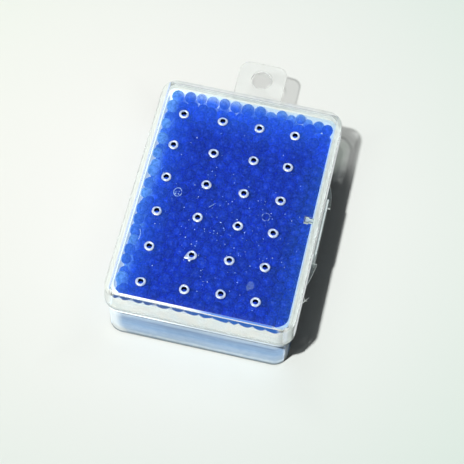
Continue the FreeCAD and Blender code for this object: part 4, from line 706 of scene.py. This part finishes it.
def web(name, replaced, upright, start, end, level, thickness, reach):
    """A thin sheet running from start to end along z if upright, otherwise along x.

    It is centred on level, has (middle, edge) thickness and spans y from -reach to reach, mm.
    """
    bm = bmesh.new()
    rings = []
    for j in range(WEB_ROWS):
        y = -reach + 2 * reach * j / (WEB_ROWS - 1)
        taper = min(1.0, min(y + reach, reach - y) / 0.25 + 0.55)  # thinner at the y ends
        ring = []
        for side in (1, -1):
            for i in range(WEB_STEPS + 1):
                k = i if side == 1 else WEB_STEPS - i
                swell = abs(-1 + 2 * k / WEB_STEPS) ** 1.6
                along = start + (end - start) * k / WEB_STEPS
                half = 0.5 * (thickness[0] + (thickness[1] - thickness[0]) * swell) * taper
                if upright:
                    ring.append(vert(bm, level - side * half, y, along))
                else:
                    ring.append(vert(bm, along, y, level + side * half))
        rings.append(ring)
    skin(bm, rings)
    for ring in (rings[0], rings[-1]):
        for i in range(WEB_STEPS):
            bm.faces.new((ring[i], ring[i + 1], ring[-2 - i], ring[-1 - i]))
    bmesh.ops.recalc_face_normals(bm, faces=bm.faces)
    made = link_mesh(bm, name, hinge_plastic)
    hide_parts(replaced)
    return made


hinge_web = web(
    "hinge_web", "living_hinge", upright=True, start=17.16, end=18.64,
    level=-33.155, thickness=(0.20, 0.37), reach=30.0,
)
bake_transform(hinge_web)
latch_web = web(
    "latch_web", "latch_flexure", upright=False, start=32.335, end=32.64,
    level=23.225, thickness=(0.30, 0.44), reach=10.9,
)
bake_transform(latch_web)

# ---------------------------------------------------------------- specks and marks on the lid
rng = random.Random(23)  # shared by all the marks, so their order matters
THREAD_SIDES = 6


def flake(bm, centre_x, centre_y, radius):
    """A tiny uneven chip lying on the lid."""
    count = rng.randint(5, 7)
    first_angle = rng.uniform(0, TURN)
    stretch_x = rng.uniform(0.6, 1.2)
    stretch_y = rng.uniform(0.6, 1.2)
    low, high = [], []
    for i in range(count):
        angle = first_angle + TURN * i / count
        corner = radius * rng.uniform(0.7, 1.25)
        x = centre_x + stretch_x * corner * math.cos(angle)
        y = centre_y + stretch_y * corner * math.sin(angle)
        low.append(vert(bm, x, y, LID_TOP))
        high.append(vert(
            bm, centre_x + 0.6 * (x - centre_x), centre_y + 0.6 * (y - centre_y),
            LID_TOP + radius * 0.6,
        ))
    for i in range(count):
        j = (i + 1) % count
        bm.faces.new((low[i], low[j], high[j], high[i]))
    bm.faces.new(high)
    bm.faces.new(list(reversed(low)))


def ridge(bm, points, radius, gaps=0.0):
    """A raised thread lying on the lid through points, thinned out at a share of them, gaps."""
    rings = []
    last = len(points) - 1
    for i, (x, y) in enumerate(points):
        x0, y0 = points[max(0, i - 1)]
        x1, y1 = points[min(last, i + 1)]
        length = math.hypot(x1 - x0, y1 - y0) or 1.0
        across_x = -(y1 - y0) / length
        across_y = (x1 - x0) / length
        thick = radius * rng.uniform(0.65, 1.2) * (0.25 if i in (0, last) else 1.0)
        if rng.random() < gaps:
            thick *= 0.15
        ring = []
        for j in range(THREAD_SIDES):
            angle = TURN * j / THREAD_SIDES
            ring.append(vert(
                bm,
                x + across_x * thick * math.cos(angle),
                y + across_y * thick * math.cos(angle),
                LID_TOP + thick * (1 + math.sin(angle)) * 0.6,
            ))
        rings.append(ring)
    tube(bm, rings)


def arc(centre, radii, angles, steps, jitter):
    """Points (x, y) along an elliptic arc, mm, each moved at random by up to jitter."""
    start, end = angles
    points = []
    for i in range(steps + 1):
        angle = start + (end - start) * i / steps
        x = centre[0] + (radii[0] + rng.uniform(-jitter, jitter)) * math.cos(angle)
        y = centre[1] + (radii[1] + rng.uniform(-jitter, jitter)) * math.sin(angle)
        points.append((x, y))
    return points


def chip_material(name, clear, painted_glow, low=(0.20, 0.42, 0.92), high=(0.58, 0.80, 1.0)):
    """Rough plastic mottled between two colours; clear is its see-through share; its glow is
    painted light.
    """
    mat = material(name)
    place = object_place()
    normal = bump(noise(place, scale=3000.0, rough=0.6), distance=0.00005, strength=0.6)
    colour = mix(ramp(noise(place, scale=1600.0), (0.35, 0.0), (0.65, 1.0)), low, high)
    diffuse = feed("BsdfDiffuse", Color=colour, Normal=normal)
    surface = add_shaders(diffuse, feed("Emission", Color=colour, Strength=painted_glow))
    gloss = feed("BsdfGlossy", Color=(1, 1, 1), Roughness=0.3, Normal=normal)
    surface = mix_shaders(0.08, surface, gloss)
    output(mix_shaders(clear, surface, feed("BsdfTransparent", Color=(1, 1, 1))))
    return mat


SPECK_COUNT = 140
SPECK_RADII = (0.07, 0.08, 0.09, 0.10, 0.12, 0.16)
# Specks with set places: (x, y, radius), mm
PLACED_SPECKS = [
    (-13.2, -6.3, 0.16), (-4.7, -12.8, 0.15), (3.3, -16.9, 0.14), (8.1, -1.4, 0.15),
    (10.4, 2.1, 0.13), (-2.2, -28.4, 0.15), (23.1, 11.2, 0.13), (14.9, 21.9, 0.12),
    (-7.6, -19.5, 0.13),
]
bm = bmesh.new()
made_count = 0
while made_count < SPECK_COUNT:
    x = rng.gauss(4.0, 11.0)
    y = rng.gauss(-12.0, 15.0)
    to_vent = min(math.hypot(x - vent_x, y - vent_y) for vent_x, vent_y in VENTS)
    if abs(x) > 28 or abs(y) > 40 or to_vent < 2.1:
        continue
    flake(bm, x, y, rng.choice(SPECK_RADII))
    made_count += 1
for speck in PLACED_SPECKS:
    flake(bm, *speck)
# Painted glow: the specks give off light of their own, as if they caught the lamp
lid_piece(bm, "lid_specks", chip_material("speck", clear=0.0, painted_glow=1.3))

# Scuffs: a closed loop filled with flakes, a broken loop, a scratch and two open arcs
LOOP = (-16.7, -1.0)
bm = bmesh.new()
ridge(bm, arc(LOOP, (1.35, 1.65), (0.3, 6.4), steps=30, jitter=0.05), 0.13)
for _ in range(9):
    flake(
        bm, LOOP[0] + rng.uniform(-0.7, 0.7), LOOP[1] + rng.uniform(-0.9, 0.9),
        rng.uniform(0.10, 0.2),
    )
ridge(bm, arc((14.3, -3.4), (1.35, 1.5), (0.2, 6.3), steps=26, jitter=0.06), 0.10, gaps=0.45)
scratch = [
    (-5.2 + 0.28 * i + rng.uniform(-0.08, 0.08), -4.3 + 0.30 * i + rng.uniform(-0.08, 0.08))
    for i in range(8)
]
ridge(bm, scratch, 0.11)
ridge(bm, arc((-27.6, -20.4), (2.7, 3.6), (-0.45, 0.75), steps=16, jitter=0.04), 0.12, gaps=0.15)
ridge(bm, arc((-21.0, 4.4), (2.4, 2.6), (2.6, 3.9), steps=10, jitter=0.04), 0.08, gaps=0.3)
# The scuffs carry a faint painted glow
lid_piece(bm, "lid_scuffs", chip_material("scuffed_plastic", clear=0.35, painted_glow=0.20))

# A faint, low smear, longer in y
SMEAR_X, SMEAR_Y, SMEAR_RADIUS, SMEAR_STEPS = 14.8, -30.2, 1.25, 22
bm = bmesh.new()
peak = vert(bm, SMEAR_X, SMEAR_Y, LID_TOP + 0.05)
outline = []
for i in range(SMEAR_STEPS):
    angle = TURN * i / SMEAR_STEPS
    waves = 0.12 * math.sin(2 * angle + 0.6) + 0.08 * math.sin(3 * angle + 2.0)
    radius = SMEAR_RADIUS * (1 + waves + rng.uniform(-0.04, 0.04))
    x = SMEAR_X + radius * 0.95 * math.cos(angle)
    y = SMEAR_Y + radius * 1.5 * math.sin(angle)
    outline.append(vert(bm, x, y, LID_TOP))
for i in range(SMEAR_STEPS):
    bm.faces.new((peak, outline[i], outline[(i + 1) % SMEAR_STEPS])).smooth = True
lid_piece(bm, "lid_smear", chip_material("smear", clear=0.84, painted_glow=0.0))


# ---------------------------------------------------------------- moulding flash
# Threads at the lid's lower right edge: (start radius, end radius, points), mm
FLASH_THREADS = [
    (0.16, 0.05, [(32.2, -27.6, 18.4), (32.7, -27.0, 18.5), (33.1, -26.4, 18.5),
                  (33.6, -25.7, 18.6), (34.15, -25.0, 18.7)]),
    (0.12, 0.04, [(33.0, -26.5, 18.5), (32.85, -26.0, 18.6), (32.75, -25.4, 18.7)]),
    (0.10, 0.04, [(33.1, -26.4, 18.5), (33.5, -26.3, 18.5), (33.9, -26.4, 18.4)]),
]


def thread(bm, start_radius, end_radius, points):
    rings = []
    last = len(points) - 1
    for i, point in enumerate(points):
        ahead = Vector(points[min(last, i + 1)]) - Vector(points[max(0, i - 1)])
        ahead = ahead.normalized()
        level = ahead.cross(Vector((0, 0, 1))).normalized()
        upright = ahead.cross(level)
        radius = start_radius + (end_radius - start_radius) * i / last
        ring = []
        for j in range(THREAD_SIDES):
            angle = TURN * j / THREAD_SIDES
            spoke = math.cos(angle) * level + math.sin(angle) * upright
            ring.append(bm.verts.new((Vector(point) + radius * spoke) * MM))
        rings.append(ring)
    tube(bm, rings)


bm = bmesh.new()
for strand in FLASH_THREADS:
    thread(bm, *strand)
# The flash carries a painted glow
flash_plastic = chip_material(
    "flash_plastic", clear=0.10, painted_glow=0.5, low=(0.62, 0.66, 0.64), high=(0.80, 0.84, 0.82)
)
lid_piece(bm, "moulding_flash", flash_plastic)

# ---------------------------------------------------------------- floor
EVEN_LIMIT = 1.25  # most that the paper makes up for the lamp's slant
FAR_TONE = 0.79
# Painted light on the paper, per colour channel: tone at the peak, then curvature and offset
# of the falloff in x and in y
PAINTED_LIGHT_FALLOFFS = [
    (0.861, 5.43, 0.06, 7.07, -0.02),
    (0.883, 1.56, 0.13, 3.74, -0.022),
    (0.841, 4.56, 0.045, 5.11, -0.018),
]


def floor_paper():
    """Paper that evens out the slant of the near lamp's light and has painted light that falls
    off softly.
    """
    mat = material("floor_paper")
    place = object_place()
    x, y, _ = split(place)
    outside = largest(
        calc("SUBTRACT", magnitude(x), 0.033), calc("SUBTRACT", magnitude(y), 0.0445)
    )
    # Painted shade: the paper is a little darker round the case
    painted_shade_beside = step(outside, 0.020, 0.0)  # a little darker round the case
    slant = times(vector_calc("DISTANCE", place, LAMP_PLACE)["Value"], 0.892 / LAMP_PLACE.z)
    even = calc("MINIMUM", slant, EVEN_LIMIT)

    def falloff(peak, curve_x, offset_x, curve_y, offset_y):
        from_x = calc("ADD", x, offset_x)
        from_y = calc("ADD", y, offset_y)
        loss = calc("ADD", times(from_x, from_x, curve_x), times(from_y, from_y, curve_y))
        tone = largest(calc("SUBTRACT", peak, loss), 0.66)
        return times(tone, 0.977, even, invert(times(painted_shade_beside, 0.05)))

    painted_near_tone = combine(*[falloff(*row) for row in PAINTED_LIGHT_FALLOFFS])
    distant = combine(*[times(even, tone) for tone in (0.735, 0.750, 0.740)])
    radius = vector_calc("LENGTH", place)["Value"]
    colour = mix(step(radius, 0.130, 0.200), painted_near_tone, distant)
    # Far from the lamp the paper keeps its tone
    kept = calc("DIVIDE", FAR_TONE * EVEN_LIMIT, slant)
    beyond = largest(calc("SUBTRACT", FAR_TONE, kept), 0.0)
    painted_glow = feed("Emission", Color=(0.98, 1.0, 0.985), Strength=beyond)
    output(add_shaders(feed("BsdfDiffuse", Color=colour), painted_glow))
    return mat


bm = bmesh.new()
bmesh.ops.create_grid(bm, x_segments=1, y_segments=1, size=3.0)
floor = link_mesh(bm, "floor", floor_paper())
floor.location = (0, 0, -0.00002)

# ---------------------------------------------------------------- light
lamp = bpy.data.lights.new("key", "POINT")
lamp.energy = 45.25
lamp.shadow_soft_size = 0.0185
lamp.color = (1.0, 0.995, 0.985)
open_tree(lamp)
# Constant falloff: distance doesn't dim the lamp
output(feed("Emission", Strength=wired("LightFalloff", 1.0)["Constant"]), "OutputLight")
lamp_object = bpy.data.objects.new("key", lamp)
lamp_object.location = LAMP_PLACE
scene.collection.objects.link(lamp_object)

world = bpy.data.worlds.new("studio")
open_tree(world)
x, y, z = split(node("TexCoord").outputs["Generated"])
# What lights the paper: a dim room
room = ramp(z, (0.0, (0.10, 0.10, 0.10)), (0.6, (0.20, 0.205, 0.21)), (1.0, (0.30, 0.305, 0.31)))
# What the plastic mirrors: pale below, dark overhead, a soft box at the near left
mirrored = ramp(
    z, (0.0, (0.90, 0.92, 0.90)), (0.45, (0.75, 0.77, 0.77)),
    (0.70, (0.16, 0.18, 0.21)), (0.84, (0.03, 0.035, 0.045)),
)
soft_box = times(
    step(x, -0.05, -0.13), step(y, 0.10, 0.0), step(z, 0.60, 0.70), step(y, -0.75, -0.65)
)
mirrored = mix(soft_box, mirrored, (16.0, 16.8, 17.2))
# What the plastic bends
bent = ramp(
    z, (0.0, (0.80, 0.82, 0.80)), (0.50, (0.70, 0.72, 0.71)),
    (0.74, (0.10, 0.11, 0.12)), (0.84, (0.015, 0.018, 0.024)),
)
# What the camera sees past the floor
backdrop = ramp(z, (0.0, (0.80, 0.82, 0.81)), (0.5, (0.86, 0.88, 0.87)))
rays = node("LightPath").outputs
sky = feed("Background", Color=room, Strength=0.35)
for ray, seen in (("Glossy", mirrored), ("Transmission", bent), ("Camera", backdrop)):
    sky = mix_shaders(rays[f"Is {ray} Ray"], sky, feed("Background", Color=seen))
output(sky, "OutputWorld")
scene.world = world

# ---------------------------------------------------------------- camera
ELEVATION = math.radians(60.437)
AZIMUTH = math.radians(9.684)  # from -y towards +x
ROLL = math.radians(3.635)
TARGET = Vector((1.861, 3.805, 0.0)) * MM
DISTANCE = 599.154 * MM

back = Vector((
    math.sin(AZIMUTH) * math.cos(ELEVATION),
    -math.cos(AZIMUTH) * math.cos(ELEVATION),
    math.sin(ELEVATION),
))
eye = TARGET + back * DISTANCE
ahead = -back
level_right = ahead.cross(Vector((0, 0, 1))).normalized()
level_up = level_right.cross(ahead)
right = math.cos(ROLL) * level_right + math.sin(ROLL) * level_up
up = -math.sin(ROLL) * level_right + math.cos(ROLL) * level_up

camera = bpy.data.cameras.new("camera")
camera.sensor_width = 36.0
camera.lens = 131.896552
camera.clip_start = 0.01
camera.clip_end = 20
camera_object = bpy.data.objects.new("camera", camera)
camera_object.matrix_world = Matrix((*zip(right, up, back, eye), (0, 0, 0, 1)))
scene.collection.objects.link(camera_object)
scene.camera = camera_object

# ---------------------------------------------------------------- render settings
scene.view_settings.view_transform = "Standard"
scene.view_settings.look = "None"
cycles = scene.cycles
cycles.max_bounces = 24
cycles.transmission_bounces = 20
cycles.transparent_max_bounces = 48
cycles.glossy_bounces = 8
cycles.diffuse_bounces = 6
cycles.use_denoising = True
cycles.caustics_reflective = False
cycles.caustics_refractive = False
cycles.blur_glossy = 0.5
cycles.sample_clamp_indirect = 6.0
